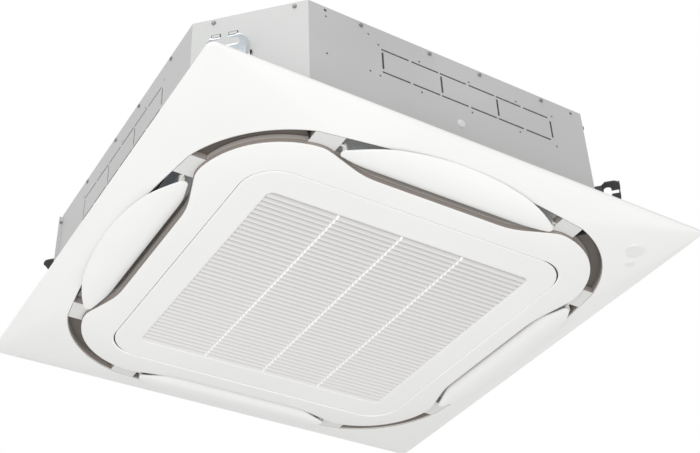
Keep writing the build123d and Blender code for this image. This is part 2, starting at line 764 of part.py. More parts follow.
def touch_latch(x):
    """A touch latch housing behind the grille's free edge."""
    housing = block(x - 11, x + 11, latch_reach - 8, latch_reach + 8, -29, roof_bottom - 2)
    return housing - post(x, latch_reach, 4.3, -30, -18)


def latch_plunger(x):
    """The latch's sprung plunger, which the grille pushes up."""
    plunger = post(x, latch_reach, 4, -35.6, -23.5)
    return chamfer(plunger.edges().sort_by(Axis.Z)[0], 1)


def receiver_dome():
    """The shallow clouded dome of the presence sensor."""
    x, y = dome_place
    dome = post(x, y, dome_radius, -21.5, -15)
    dome += post(x, y, dome_radius - 1.5, -15, -12)
    return fillet(dome.edges().sort_by(Axis.Z)[0], 1.8)


def receiver_lens():
    """The small round window of the remote-control receiver."""
    x, y = lens_place
    lens = post(x, y, lens_radius, -23, -15)
    return fillet(lens.edges().sort_by(Axis.Z)[0], 1.2)


def panel_gasket():
    """The foam seal between the body's flange and the panel's roof."""
    return prism(octagon(1) - octagon(14), roof_top, casing_bottom)


def panel_screws():
    """Four screws that carry the panel, up into the pan."""
    screws = []
    for x in (-300, 300):
        for y in (-300, 300):
            screws.append(post(x, y, 4.5, roof_bottom - 3, roof_bottom) + post(x, y, 2, roof_bottom, 10))
    return Compound(children=screws)


# ---------------------------------------------------------------- all sub-parts
def build_parts():
    parts = {
        "casing_shell": casing_shell(),
        "top_plate": top_plate(),
        "casing_screws": casing_screws(),
        "bracket_screws": bracket_screws(),
        "foam_liner": foam_liner(),
        "top_insulation": top_insulation(),
        "fan_motor": fan_motor(),
        "motor_mounts": motor_mounts(),
        "motor_shaft": motor_shaft(),
        "turbo_fan": turbo_fan(),
        "fan_nut": fan_nut(),
        "coil_fins": coil_band(coil_inner, coil_outer, coil_bottom, coil_top),
        "coil_end_plates": coil_end_plates(),
        "coil_bends": coil_bends(),
        "gas_pipe": header_and_stub(gas_place, gas_radius, 281, 190),
        "liquid_pipe": header_and_stub(liquid_place, liquid_radius, 281, 125),
        "gas_flare_nut": flare_nut(gas_place, gas_radius, 27),
        "liquid_flare_nut": flare_nut(liquid_place, liquid_radius, 17),
        "pipe_plate": pipe_plate(),
        "drain_pan": drain_pan(),
        "drain_pump": drain_pump(),
        "drain_socket": drain_socket(),
        "float_switch": float_switch(),
        "bell_mouth": bell_mouth(),
        "control_box": control_box(),
        "control_cover": control_cover(),
        "circuit_board": circuit_board(),
        "panel_frame": panel_frame(),
        "centre_frame": centre_frame(),
        "panel_gasket": panel_gasket(),
        "panel_screws": panel_screws(),
        "suction_grille": suction_grille(),
        "filter_frame": filter_frame(),
        "filter_mesh": filter_mesh(),
        "receiver_dome": receiver_dome(),
        "receiver_lens": receiver_lens(),
    }
    corners = {"front_left": (-1, -1), "front_right": (1, -1), "back_left": (-1, 1), "back_right": (1, 1)}
    for corner, (sign_x, sign_y) in corners.items():
        parts["hanger_bracket_" + corner] = hanger_bracket(sign_x, sign_y)
    for side, name in enumerate(("front", "right", "back", "left")):
        turn = Rot(0, 0, 90 * side)
        parts["flap_" + name] = turn * flap()
        parts["flap_motor_" + name] = turn * flap_motor()
        parts["hinge_cover_" + name + "_a"] = turn * hub_cover(-1)
        parts["hinge_cover_" + name + "_b"] = turn * hub_cover(1)
    for x, name in zip(latch_places, ("left", "right")):
        parts["touch_latch_" + name] = touch_latch(x)
    parts["latch_plunger_left"] = latch_plunger(latch_places[0])
    parts["latch_plunger_right"] = latch_plunger(latch_places[1])
    return parts


os.makedirs("parts", exist_ok=True)
for name, shape in build_parts().items():
    export_step(shape, "parts/" + name + ".step")
    print(name, round(shape.volume))
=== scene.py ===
# %% [markdown]
# # A ceiling cassette air conditioner, looked at from below
#
# The unit hangs in the ceiling void and shows only its white panel to the room. This notebook loads
# the measured solids, sets up the studio, gives every part a finish, and rebuilds the surfaces that
# need a finer form than the solids have: the domed panel, the flaps and the louvre field.

# %% Load the measured frame
import bmesh
import bpy
import json
import math
import numpy as np
from mathutils import Matrix, Vector


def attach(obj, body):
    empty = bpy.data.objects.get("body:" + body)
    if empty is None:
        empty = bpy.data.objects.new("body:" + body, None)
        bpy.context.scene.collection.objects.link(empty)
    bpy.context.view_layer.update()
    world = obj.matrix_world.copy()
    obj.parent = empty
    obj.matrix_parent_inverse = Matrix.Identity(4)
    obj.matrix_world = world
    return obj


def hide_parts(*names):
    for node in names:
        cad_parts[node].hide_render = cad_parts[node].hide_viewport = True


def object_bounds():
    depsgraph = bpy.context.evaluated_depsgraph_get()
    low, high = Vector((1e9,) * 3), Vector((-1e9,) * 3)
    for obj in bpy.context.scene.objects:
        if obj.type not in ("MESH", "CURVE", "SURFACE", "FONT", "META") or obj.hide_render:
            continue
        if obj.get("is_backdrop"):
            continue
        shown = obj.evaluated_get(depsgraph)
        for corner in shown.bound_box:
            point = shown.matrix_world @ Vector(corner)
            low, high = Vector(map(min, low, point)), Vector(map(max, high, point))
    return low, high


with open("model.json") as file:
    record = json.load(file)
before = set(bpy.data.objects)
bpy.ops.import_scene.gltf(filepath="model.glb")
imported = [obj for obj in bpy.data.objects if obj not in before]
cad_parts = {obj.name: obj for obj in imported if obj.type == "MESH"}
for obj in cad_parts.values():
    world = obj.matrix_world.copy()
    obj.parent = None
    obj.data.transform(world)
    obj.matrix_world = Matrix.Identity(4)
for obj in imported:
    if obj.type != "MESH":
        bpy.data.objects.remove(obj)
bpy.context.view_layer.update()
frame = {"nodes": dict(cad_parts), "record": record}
nodes = frame["nodes"]

# %% [markdown]
# Heights on this unit are easiest to read from the ceiling's lower face, because the panel's rim
# lies on it. The frame has its zero at the hanger brackets, so one helper turns one into the other.

# %% Heights over the ceiling
MM = 0.001
HANGER_HEIGHT = 135.0


def level(above_ceiling):
    """Z in metres of a height in millimetres over the ceiling's lower face."""
    return (above_ceiling - HANGER_HEIGHT) * MM


print("panel rim at z =", round(level(0), 4))

# %% [markdown]
# ## Camera
#
# The picture was taken from below, in front and to the left, with a long lens. The place, the two
# angles, the small roll and the focal length come from fitting the panel's straight edges.

# %% Camera
STANDPOINT = (-0.9915, -1.6255, -1.4127)
HEADING, TILT, ROLL = (math.radians(angle) for angle in (-31.846, 36.699, -1.933))
LENS = {"sensor_width": 36.0, "lens": 64.155, "shift_x": 0.0207, "shift_y": 0.0064,
        "clip_start": 0.05, "clip_end": 60.0}
camera_data = bpy.data.cameras.new("studio_camera")
for label, value in LENS.items():
    setattr(camera_data, label, value)
camera = bpy.data.objects.new("studio_camera", camera_data)
bpy.context.scene.collection.objects.link(camera)
aim = (Matrix.Rotation(HEADING, 4, "Z") @ Matrix.Rotation(math.pi / 2 + TILT, 4, "X")
       @ Matrix.Rotation(ROLL, 4, "Z"))
camera.matrix_world = Matrix.Translation(STANDPOINT) @ aim
bpy.context.scene.camera = camera
print("camera looks along", [round(x, 3) for x in aim.to_3x3() @ Vector((0, 0, -1))])

# %% [markdown]
# ## Studio
#
# A white room. Its walls could be built, but a white world gives the same even light with nothing to
# model. The backdrop is at full white only to the camera, to reflections and behind clear parts, so
# it adds no light to the unit. Nodes are wired in many places below, and three helpers do that.


# %% Node helpers
def give(tree, node, inputs):
    """Gives each input named a value, or wires it to another node's output."""
    for label, given in inputs.items():
        if isinstance(given, bpy.types.NodeSocket):
            tree.links.new(given, node.inputs[label])
        else:
            node.inputs[label].default_value = given


def add_node(tree, kind, inputs=None, **settings):
    """Adds a shader node with its inputs and settings."""
    node = tree.nodes.new("ShaderNode" + kind)
    for label, setting in settings.items():
        setattr(node, label, setting)
    give(tree, node, inputs or {})
    return node


def computed(tree, operation, *inputs):
    """The result of one operation on values or outputs."""
    return add_node(tree, "Math", dict(enumerate(inputs)), operation=operation).outputs[0]


# %% World
WHITE = (1.0, 1.0, 1.0, 1.0)
ROOM_LIGHT, BACKDROP_LIGHT = 0.625, 1.0
world = bpy.data.worlds.new("studio_world")
bpy.context.scene.world = world
world.use_nodes = True
sky = world.node_tree
sky.nodes.clear()
ray = add_node(sky, "LightPath").outputs
seen = computed(sky, "MAXIMUM", ray["Is Camera Ray"], ray["Is Glossy Ray"])
seen = computed(sky, "MAXIMUM", seen, ray["Is Transmission Ray"])
lit, shown = (add_node(sky, "Background", {"Color": WHITE, "Strength": strength}).outputs[0]
              for strength in (ROOM_LIGHT, BACKDROP_LIGHT))
either = add_node(sky, "MixShader", {"Fac": seen, 1: lit, 2: shown})
add_node(sky, "OutputWorld", {"Surface": either.outputs[0]})
print("room light:", ROOM_LIGHT)

# %% [markdown]
# Four square softboxes shape that even light. The key stands low in front on the left, the fill
# low on the right keeps that side from going flat, a weak one lights the panel's far left edge, and
# one above the ceiling line lights the sheet-metal body.


# %% Lamps
def soft_lamp(name, place, target, size, power):
    """A square softbox that faces a point."""
    data = bpy.data.lights.new(name, "AREA")
    data.shape = "SQUARE"
    data.size = size
    data.energy = power
    lamp = bpy.data.objects.new(name, data)
    bpy.context.scene.collection.objects.link(lamp)
    lamp.location = place
    lamp.rotation_euler = (Vector(target) - Vector(place)).to_track_quat("-Z", "Y").to_euler()


PANEL_MIDDLE, BODY_MIDDLE = (0, 0, -0.1), (0, 0, 0)
soft_lamp("key_softbox", (-2.5, -2.5, -2.3), PANEL_MIDDLE, 2.6, 86.0)
soft_lamp("fill_softbox", (2.4, -1.4, -2.4), PANEL_MIDDLE, 2.4, 25.0)
soft_lamp("side_softbox", (-3.0, 0.9, -1.7), PANEL_MIDDLE, 2.2, 7.0)
soft_lamp("top_softbox", (-1.6, -1.2, 2.6), BODY_MIDDLE, 2.4, 34.0)

# %% [markdown]
# ## Effects that several finishes share
#
# Each effect is a node group that gives only masks and heights. A finish places the group with its
# own values, and keeps its own shader. All patterns follow the piece's own coordinates, so they stay
# in place when a flap or the grille swings.


# %% Group helpers
def new_group(name, inputs, outputs):
    """A shader group with float inputs (name: start value), and the places on the piece."""
    group = bpy.data.node_groups.new(name, "ShaderNodeTree")
    for label, value in inputs.items():
        socket = group.interface.new_socket(label, in_out="INPUT", socket_type="NodeSocketFloat")
        socket.default_value = value
    for label in outputs:
        group.interface.new_socket(label, in_out="OUTPUT", socket_type="NodeSocketFloat")
    given = group.nodes.new("NodeGroupInput").outputs
    made = group.nodes.new("NodeGroupOutput")
    return group, given, made, add_node(group, "TexCoord").outputs["Object"]


def noise_in(group, place, scale, detail, roughness):
    """Soft noise in a group."""
    return add_node(group, "TexNoise", {"Vector": place, "Scale": scale, "Detail": detail,
                                        "Roughness": roughness}).outputs["Fac"]


def cells_in(group, place, scale):
    """Cells in a group: three random values for each cell, and the distance to its middle."""
    cells = add_node(group, "TexVoronoi", {"Vector": place, "Scale": scale})
    split = add_node(group, "SeparateColor", {"Color": cells.outputs["Color"]})
    return split.outputs, cells.outputs["Distance"]


def lines_in(group, place, scale):
    """Two sets of fine bands in a group, one across X and one across Y."""
    return [add_node(group, "TexWave", {"Vector": place, "Scale": scale},
                     bands_direction=direction).outputs["Fac"] for direction in ("X", "Y")]


def facing(tree, axis):
    """How far the surface faces along an axis, from -1 to 1."""
    normal = add_node(tree, "NewGeometry").outputs["Normal"]
    return add_node(tree, "SeparateXYZ", {0: normal}).outputs[axis]


# %% [markdown]
# A moulding copies the spark-eroded surface of its tool, which is a grain far finer than a
# millimetre, and its tone drifts slowly over the part. Two noises of very different size give both.

# %% Moulded plastic
moulded, given, made, place = new_group(
    "moulded_surface", {"Tone scale": 3.0, "Grain scale": 900.0}, ["Tone", "Grain"])
give(moulded, made, {"Tone": noise_in(moulded, place, given["Tone scale"], 3.0, 0.5),
                     "Grain": noise_in(moulded, place, given["Grain scale"], 2.0, 0.6)})

# %% [markdown]
# Hot-dip zinc freezes in flat crystals a few millimetres wide, the spangle. Each crystal has its own
# brightness, so a cell pattern gives the tone, and rolling leaves faint streaks along the sheet.

# %% Zinc spangle
spangle, given, made, place = new_group(
    "zinc_spangle", {"Crystal scale": 160.0, "Streak scale": 30.0}, ["Crystal", "Streak", "Grain"])
random, _ = cells_in(spangle, place, given["Crystal scale"])
give(spangle, made, {"Crystal": random["Red"], "Grain": random["Green"],
                     "Streak": noise_in(spangle, place, given["Streak scale"], 2.0, 0.5)})

# %% [markdown]
# Dust settles on what faces up in a ceiling void. The mask takes the upward part of the surface
# normal and breaks it with noise, so that the dust lies in soft patches.

# %% Dust on upward faces
dust, given, made, place = new_group("settled_dust", {"Patch scale": 9.0, "Amount": 0.5}, ["Dust"])
upward = add_node(dust, "MapRange", {"Value": facing(dust, "Z"), "From Min": 0.3, "From Max": 1.0})
patches = noise_in(dust, place, given["Patch scale"], 5.0, 0.6)
broken = computed(dust, "MULTIPLY", upward.outputs["Result"], patches)
give(dust, made, {"Dust": computed(dust, "MULTIPLY", broken, given["Amount"])})

# %% [markdown]
# Expanded foam is made of beads pressed together, so it takes the same cells as the zinc, here with
# a height. A woven net is two sets of threads, and fins are one set that turns with the coil: bands
# in shader nodes are light, where thousands of modelled threads or fins would not be.

# %% Foam beads, woven net and stacked fins
beads, given, made, place = new_group("foam_beads", {"Bead scale": 260.0}, ["Tone", "Height"])
random, from_middle = cells_in(beads, place, given["Bead scale"])
give(beads, made, {"Tone": random["Red"], "Height": from_middle})

weave, given, made, place = new_group("woven_net", {"Thread scale": 400.0}, ["Thread"])
threads = lines_in(weave, place, given["Thread scale"])
give(weave, made, {"Thread": computed(weave, "MAXIMUM", *threads)})

fins, given, made, place = new_group("stacked_fins", {"Fin scale": 330.0}, ["Line"])
across_x, across_y = lines_in(fins, place, given["Fin scale"])
sideways = computed(fins, "ABSOLUTE", facing(fins, "X"))
pick = add_node(fins, "Mix", {"Factor": sideways, "A": across_x, "B": across_y})
give(fins, made, {"Line": pick.outputs["Result"]})
print("groups:", sorted(group.name for group in bpy.data.node_groups))

# %% [markdown]
# ## Finishes
#
# Every finish starts as one shader. Small helpers add a group, mix two colours by a mask, let a mask
# move the roughness, and turn a height into a bump. Colours are written as a screen shows them.


# %% Finish helpers
def linear(red, green, blue):
    """A colour as seen on a screen (0 to 255), turned into the linear values that shaders use."""
    def one(value):
        value = value / 255.0
        return value / 12.92 if value <= 0.04045 else ((value + 0.055) / 1.055) ** 2.4
    return (one(red), one(green), one(blue), 1.0)


class Finish:
    """One material, and short ways to wire it."""

    def __init__(self, name, roughness, metallic=0.0, specular=0.5):
        self.material = bpy.data.materials.new(name)
        self.material.use_nodes = True
        self.tree = self.material.node_tree
        self.shade({"Roughness": roughness, "Metallic": metallic, "Specular IOR Level": specular})

    def shade(self, inputs):
        """Gives the shader its values or wires."""
        give(self.tree, self.tree.nodes["Principled BSDF"], inputs)

    def effect(self, group, values):
        """Places a shared effect with its own values."""
        return add_node(self.tree, "Group", values, node_tree=group).outputs

    def colours(self, mask, dark, light, low=0.3, high=0.7):
        """A ramp between two colours, driven by a mask."""
        ramp = add_node(self.tree, "ValToRGB", {"Fac": mask})
        for index, (position, colour) in enumerate(((low, dark), (high, light))):
            ramp.color_ramp.elements[index].position = position
            ramp.color_ramp.elements[index].color = linear(*colour)
        return ramp.outputs["Color"]

    def over(self, mask, below, above):
        """Lays a plain colour or a pattern over another where the mask is high."""
        if isinstance(above, tuple):
            above = linear(*above)
        layers = {"Factor": mask, "A": below, "B": above}
        return add_node(self.tree, "Mix", layers, data_type="RGBA").outputs["Result"]

    def place(self, axis):
        """The place on the piece along an axis, in metres."""
        where = add_node(self.tree, "TexCoord").outputs["Object"]
        return add_node(self.tree, "SeparateXYZ", {0: where}).outputs[axis]

    def between(self, axis, start, end):
        """A mask that runs from 0 to 1 between two places of the piece along an axis."""
        ends = {"Value": self.place(axis), "From Min": start, "From Max": end}
        return add_node(self.tree, "MapRange", ends).outputs["Result"]

    def upright(self, limit):
        """A mask of upright faces: their normal's height is below the limit."""
        return computed(self.tree, "COMPARE", facing(self.tree, "Z"), 0.0, limit)

    def paint(self, colour):
        """Gives the shader its colour."""
        self.shade({"Base Color": colour})

    def glow(self, colour, strength):
        """Painted light: a faint glow of its own, as where light seeps through."""
        self.shade({"Emission Color": colour, "Emission Strength": strength})

    def rough_between(self, mask, smooth, rough):
        """Lets a mask move the roughness between two values."""
        spread = add_node(self.tree, "MapRange", {"Value": mask, "To Min": smooth, "To Max": rough})
        self.shade({"Roughness": spread.outputs["Result"]})

    def bump(self, height, strength, depth):
        """Turns a height into a bump of the given depth in metres."""
        node = add_node(self.tree, "Bump",
                        {"Strength": strength, "Distance": depth, "Height": height})
        self.shade({"Normal": node.outputs["Normal"]})

    def grained(self, depth=0.00003):
        """Adds the grain of a moulding and gives back its slow change of tone."""
        surface = self.effect(moulded, {"Tone scale": 2.2, "Grain scale": 900.0})
        self.bump(surface["Grain"], 0.25, depth)
        return surface["Tone"]


# %% [markdown]
# The panel, its flaps and grille are moulded in white ABS with a fine satin grain. A slow change of
# tone of one or two percent is what keeps such a large plain surface from looking like paper.


# %% Plastics
def moulded_plastic(name, dark, light, smooth, rough, grain_depth=0.00003):
    """A moulded plastic between two tones and two roughnesses."""
    finish = Finish(name, rough)
    tone = finish.grained(grain_depth)
    finish.paint(finish.colours(tone, dark, light))
    finish.rough_between(tone, smooth, rough)
    return finish


PANEL_TONES = (236, 236, 235), (241, 241, 240)
panel_white = moulded_plastic("panel_white", *PANEL_TONES, 0.36, 0.46)
# Painted highlight: a lighter copy of the panel white, for the bevel beside the gap and the ribs of
# the grille.
white_with_painted_highlight = moulded_plastic("white_with_painted_highlight", (247, 247, 246), (250, 250, 249), 0.36, 0.46)
cover_grey = moulded_plastic("cover_grey", (216, 216, 215), (222, 222, 221), 0.40, 0.50)
channel_grey = moulded_plastic("channel_grey", (150, 141, 135), (163, 154, 148), 0.55, 0.70)
wall_grey = moulded_plastic("wall_grey", (176, 170, 165), (186, 180, 175), 0.55, 0.70)
plug_grey = moulded_plastic("plug_grey", (206, 207, 206), (214, 215, 214), 0.35, 0.45)
part_black = moulded_plastic("part_black", (34, 34, 36), (46, 46, 48), 0.45, 0.60)
fan_grey = moulded_plastic("fan_grey", (74, 76, 79), (88, 90, 93), 0.45, 0.60)
part_white = moulded_plastic("part_white", (226, 226, 222), (236, 236, 232), 0.35, 0.50)
dome_cloud = moulded_plastic("dome_cloud", (228, 229, 228), (233, 234, 233), 0.18, 0.26, 0.00001)
lens_cloud = moulded_plastic("lens_cloud", (226, 226, 227), (232, 232, 233), 0.12, 0.20, 0.00001)
print("tones of the panel:", PANEL_TONES)

# %% [markdown]
# Two mouldings get painted shade over their own depth. The panel's rim is painted warm grey where it
# meets the ceiling, as painted shade at the joint, and a slat is painted darkest deep in the field,
# where little light reaches, with the slats at the front painted darker than those at the back. A mask
# along an axis of the piece gives that painted shade.

# %% Panel skin with painted shade at its rim, and slats with painted shade
panel_rimmed = Finish("panel_rimmed", 0.4)
face = panel_rimmed.colours(panel_rimmed.grained(), *PANEL_TONES)
# Painted shade: the top of the rim, where it meets the ceiling, is painted warm grey.
painted_shade_at_ceiling = panel_rimmed.between("Z", level(-1.6), level(-0.4))
panel_rimmed.paint(panel_rimmed.over(painted_shade_at_ceiling, face, (214, 207, 203)))

slat_white = Finish("slat_white", 0.5)
slat_white.grained()
# Painted shade: a slat is painted darker the deeper it lies in the field, and the slats at the front
# are painted darker than those at the back.
depth = slat_white.between("Z", level(-34.6), level(-38.6))
at_front = slat_white.colours(depth, (194, 192, 190), (222, 221, 220), 0.0, 1.0)
at_back = slat_white.colours(depth, (205, 203, 201), (230, 229, 228), 0.0, 1.0)
slat_white.paint(slat_white.over(slat_white.between("Y", -0.24, 0.24), at_front, at_back))
print("finishes over depth:", panel_rimmed.material.name, slat_white.material.name)

# %% [markdown]
# The panel's measured solids show only at the rim and inside the air channel: white outside, warm grey
# inside, with the channel's roof painted darker as painted shade and its upright walls paler than the
# roof. One finish holds both tones, because cutting a solid in two would change what was measured.

# %% The two solids of the panel
OUTSIDE_FROM = 0.447
two_tone_and_painted_shade = Finish("two_tone_panel", 0.5)
tone = two_tone_and_painted_shade.grained()
to_sides = [computed(two_tone_and_painted_shade.tree, "ABSOLUTE", two_tone_and_painted_shade.place(axis)) for axis in "XY"]
farthest = computed(two_tone_and_painted_shade.tree, "MAXIMUM", *to_sides)
outside = computed(two_tone_and_painted_shade.tree, "GREATER_THAN", farthest, OUTSIDE_FROM)
# Painted shade: the channel's roof is painted darker than the warm grey plastic, and its upright walls
# paler than the roof.
inside = two_tone_and_painted_shade.colours(tone, (98, 92, 87), (114, 107, 102))
inside = two_tone_and_painted_shade.over(two_tone_and_painted_shade.upright(0.5), inside, (172, 165, 160))
two_tone_and_painted_shade.paint(two_tone_and_painted_shade.over(outside, inside, (239, 239, 238)))

two_tone_centre = Finish("two_tone_centre", 0.5)
face = two_tone_centre.colours(two_tone_centre.grained(), *PANEL_TONES)
walls = two_tone_centre.upright(0.6)
two_tone_centre.paint(two_tone_centre.over(walls, face, (156, 147, 141)))
print("two tones on:", two_tone_and_painted_shade.material.name, two_tone_centre.material.name)

# %% [markdown]
# The body and brackets are zinc-coated sheet. Copper, brass and enamel take the same effect with
# other values: all of them show a faint cloud of tone, a streak in the gloss and some dust on top.


# %% Metals
def zinc_sheet(name, dark, light, smooth, rough, crystal_scale, metallic, dust_amount):
    """Metal between two tones, with crystals, streaks and settled dust."""
    finish = Finish(name, rough, metallic)
    sheet = finish.effect(spangle, {"Crystal scale": crystal_scale, "Streak scale": 4.0})
    cloud = finish.colours(sheet["Streak"], dark, light, 0.25, 0.75)
    faint = computed(finish.tree, "MULTIPLY", sheet["Crystal"], 0.06)
    base = finish.over(faint, cloud, light)
    lying = finish.effect(dust, {"Patch scale": 9.0, "Amount": dust_amount})
    finish.paint(finish.over(lying["Dust"], base, (176, 172, 165)))
    finish.rough_between(sheet["Streak"], smooth, rough)
    finish.bump(sheet["Grain"], 0.08, 0.00005)
    return finish


casing_zinc = zinc_sheet(
    "casing_zinc", (184, 185, 184), (194, 195, 194), 0.50, 0.62, 260.0, 0.35, 0.5)
bracket_zinc = zinc_sheet(
    "bracket_zinc", (222, 228, 232), (234, 239, 242), 0.30, 0.42, 420.0, 0.5, 0.1)
# Painted shade: a dark copy of the bracket zinc, for brackets that hang in shadow.
zinc_in_painted_shade = zinc_sheet("zinc_in_painted_shade", (62, 63, 65), (78, 79, 81), 0.40, 0.55, 420.0, 0.5, 0.1)
screw_zinc = zinc_sheet(
    "screw_zinc", (120, 120, 120), (136, 136, 135), 0.35, 0.50, 600.0, 0.6, 0.1)
bright_steel = zinc_sheet(
    "bright_steel", (186, 187, 190), (198, 199, 202), 0.18, 0.30, 700.0, 1.0, 0.0)
motor_enamel = zinc_sheet("motor_enamel", (62, 64, 67), (74, 76, 79), 0.35, 0.50, 500.0, 0.2, 0.2)
copper_tube = zinc_sheet("copper_tube", (190, 118, 84), (206, 134, 98), 0.24, 0.40, 60.0, 1.0, 0.1)
brass_nut = zinc_sheet("brass_nut", (196, 164, 98), (212, 182, 118), 0.22, 0.36, 200.0, 1.0, 0.05)
print("metals: from", casing_zinc.material.name, "to", brass_nut.material.name)

# %% [markdown]
# Foam and rubber share the beads. The white foam of the drain pan lets a little light through, which a
# scattering shader would show at a high price, so it gets a faint painted glow instead.


# %% Foam and rubber
def beaded(name, dark, light, rough, bead_scale, depth, glow=0.0):
    """Foam or rubber between two tones, with beads of the given size and depth."""
    finish = Finish(name, rough, 0.0, 0.3)
    bead = finish.effect(beads, {"Bead scale": bead_scale})
    finish.paint(finish.colours(bead["Tone"], dark, light, 0.0, 1.0))
    finish.bump(bead["Height"], 0.5, depth)
    finish.glow((0.80, 0.86, 0.92, 1.0), glow)
    return finish


# Painted light: the white foam glows faintly.
white_foam = beaded("white_foam", (212, 211, 206), (226, 225, 221), 0.85, 260.0, 0.0003, 0.06)
grey_foam = beaded("grey_foam", (72, 74, 76), (86, 88, 90), 0.9, 500.0, 0.0002)
black_foam = beaded("black_foam", (38, 38, 38), (52, 52, 52), 0.95, 700.0, 0.0002)
black_rubber = beaded("black_rubber", (34, 34, 34), (44, 44, 44), 0.75, 900.0, 0.00005)

# %% [markdown]
# Three finishes are used once: the board's green lacquer over a faint mottle, the thin aluminium fins
# of the coil with a painted glow for the daylight between them, and the black net of the filter.

# %% Board, fins and net
board_green = Finish("board_green", 0.3)
mottle = board_green.effect(moulded, {"Tone scale": 60.0, "Grain scale": 500.0})
board_green.paint(board_green.colours(mottle["Tone"], (34, 84, 52), (58, 120, 78)))
board_green.bump(mottle["Grain"], 0.2, 0.00005)

fin_stack = Finish("fin_stack", 0.35, 0.9)
line = fin_stack.effect(fins, {"Fin scale": 330.0})["Line"]
fin_stack.paint(fin_stack.colours(line, (96, 100, 106), (206, 210, 214), 0.2, 0.8))
fin_stack.bump(line, 0.6, 0.0006)
# Painted light: a faint glow for the light seen between the fins.
fin_stack.glow((0.72, 0.80, 0.86, 1.0), 0.09)

filter_net = Finish("filter_net", 0.7)
thread = filter_net.effect(weave, {"Thread scale": 300.0})["Thread"]
filter_net.paint(filter_net.colours(thread, (30, 32, 36), (78, 82, 88)))
filter_net.bump(thread, 0.5, 0.0002)
print("materials so far:", len(bpy.data.materials))

# %% [markdown]
# ## Finishes on the measured solids
#
# The record says what each part is made of. One table turns those words into the finishes above. A
# second, shorter table holds the parts that look different from the rest of their material, such as
# the three brackets that hang in shadow, whose shade is painted into a dark copy of the zinc.

# %% Give every solid its finish
finish_of_slot = {
    "galvanised_steel": casing_zinc, "zinc_plated_steel": bracket_zinc,
    "bright_steel": bright_steel, "motor_enamel": motor_enamel, "black_rubber": black_rubber,
    "fan_plastic": fan_grey, "aluminium_fins": fin_stack, "copper": copper_tube,
    "brass": brass_nut, "grey_foam": grey_foam, "white_foam": white_foam,
    "black_foam": black_foam, "white_plastic": panel_white, "pale_grey_plastic": cover_grey,
    "black_plastic": part_black, "green_board": board_green, "filter_net": filter_net,
    "clouded_plastic": dome_cloud, "dark_lens": lens_cloud,
}
own_finish = {
    "drain_socket": part_white, "float_switch": part_white, "casing_screws": screw_zinc,
    "panel_frame": two_tone_and_painted_shade, "centre_frame": two_tone_centre,
    # Painted shade: three brackets take the dark copy of the zinc.
    "hanger_bracket_front_right": zinc_in_painted_shade, "hanger_bracket_back_left": zinc_in_painted_shade,
    "hanger_bracket_back_right": zinc_in_painted_shade,
}
for part in frame["record"]["subparts"]:
    solid = nodes[part["node"]]
    solid.data.materials.clear()
    finish = own_finish.get(part["node"], finish_of_slot[part["material_slot"]])
    solid.data.materials.append(finish.material)

# %% [markdown]
# Folded sheet has no knife edges. A small bevel on the solids' edges catches a thin line of light
# where the body is bent, as real bends do. A modifier makes it, so the measured mesh stays as it is.


# %% Soften the edges of the lid, the brackets and the hinge covers
def soften(name, width):
    """Welds a solid's mesh in a modifier and rounds its sharp edges."""
    solid = nodes[name]
    solid.modifiers.new("weld", "WELD").merge_threshold = 0.00001
    rounding = solid.modifiers.new("soft_edges", "BEVEL")
    rounding.width = width * MM
    rounding.segments = 2
    rounding.limit_method = "ANGLE"
    rounding.angle_limit = math.radians(30.0)


for name in nodes:
    if name == "top_plate" or name.startswith("hinge_cover"):
        soften(name, 0.5)
    elif name.startswith("hanger_bracket"):
        soften(name, 0.4)
print("softened:", sum(len(solid.modifiers) > 0 for solid in nodes.values()))

# %% [markdown]
# ## Outlines of the panel
#
# Seen from below, every outline of the panel closes once round the centre, so each can be written as
# a distance for each direction, and neighbouring outlines join into clean four-sided faces. Cutting
# them from a plate with booleans would be quicker to write, but would leave long thin triangles that
# spoil the soft shading.

# %% Directions round the centre, closer together at the corners
angles = [0.75 * i for i in range(120)] + [42.0 + 0.15 * i for i in range(41)]
angles = sorted(set(round(angle, 3) for angle in angles))
ROUND = np.radians([angle + 90 * side for side in range(4) for angle in angles])
COS, SIN = np.cos(ROUND), np.sin(ROUND)
NEAR, FAR = np.minimum(abs(COS), abs(SIN)), np.maximum(abs(COS), abs(SIN))
print("directions:", len(ROUND))


# %% Outline functions, all in millimetres
def rounded_oblong(half_x, half_y, corner):
    """Distance to an oblong with round corners."""
    across, along = abs(COS), abs(SIN)
    inner_x, inner_y = half_x - corner, half_y - corner
    to_side = half_x / np.maximum(across, 1e-9)
    to_end = half_y / np.maximum(along, 1e-9)
    slant = inner_x * across + inner_y * along
    chord = corner ** 2 - inner_x ** 2 - inner_y ** 2 + slant ** 2
    curved = slant + np.sqrt(np.maximum(chord, 0))
    on_side, on_end = to_side * along <= inner_y, to_end * across <= inner_x
    return np.where(on_side, to_side, np.where(on_end, to_end, curved))


def rounded_square(half, corner):
    """Distance to a square with round corners."""
    return rounded_oblong(half, half, corner)


def smoothed(distance, span, step=0.25):
    """The outline with its corners eased over a span in degrees."""
    dense = np.radians(np.arange(0, 360, step))
    values = np.interp(dense, ROUND, distance, period=2 * math.pi)
    width = int(span / step) | 1
    padded = np.concatenate([values[-width:], values, values[:width]])
    eased = np.convolve(padded, np.ones(width) / width, "same")[width:-width]
    return np.interp(ROUND, dense, eased, period=2 * math.pi)


# %% [markdown]
# The opening for the air is bowed on its long sides and has wide corner arcs. It is laid out as a
# draughtsman would do it, from one bow and one arc that share a point.

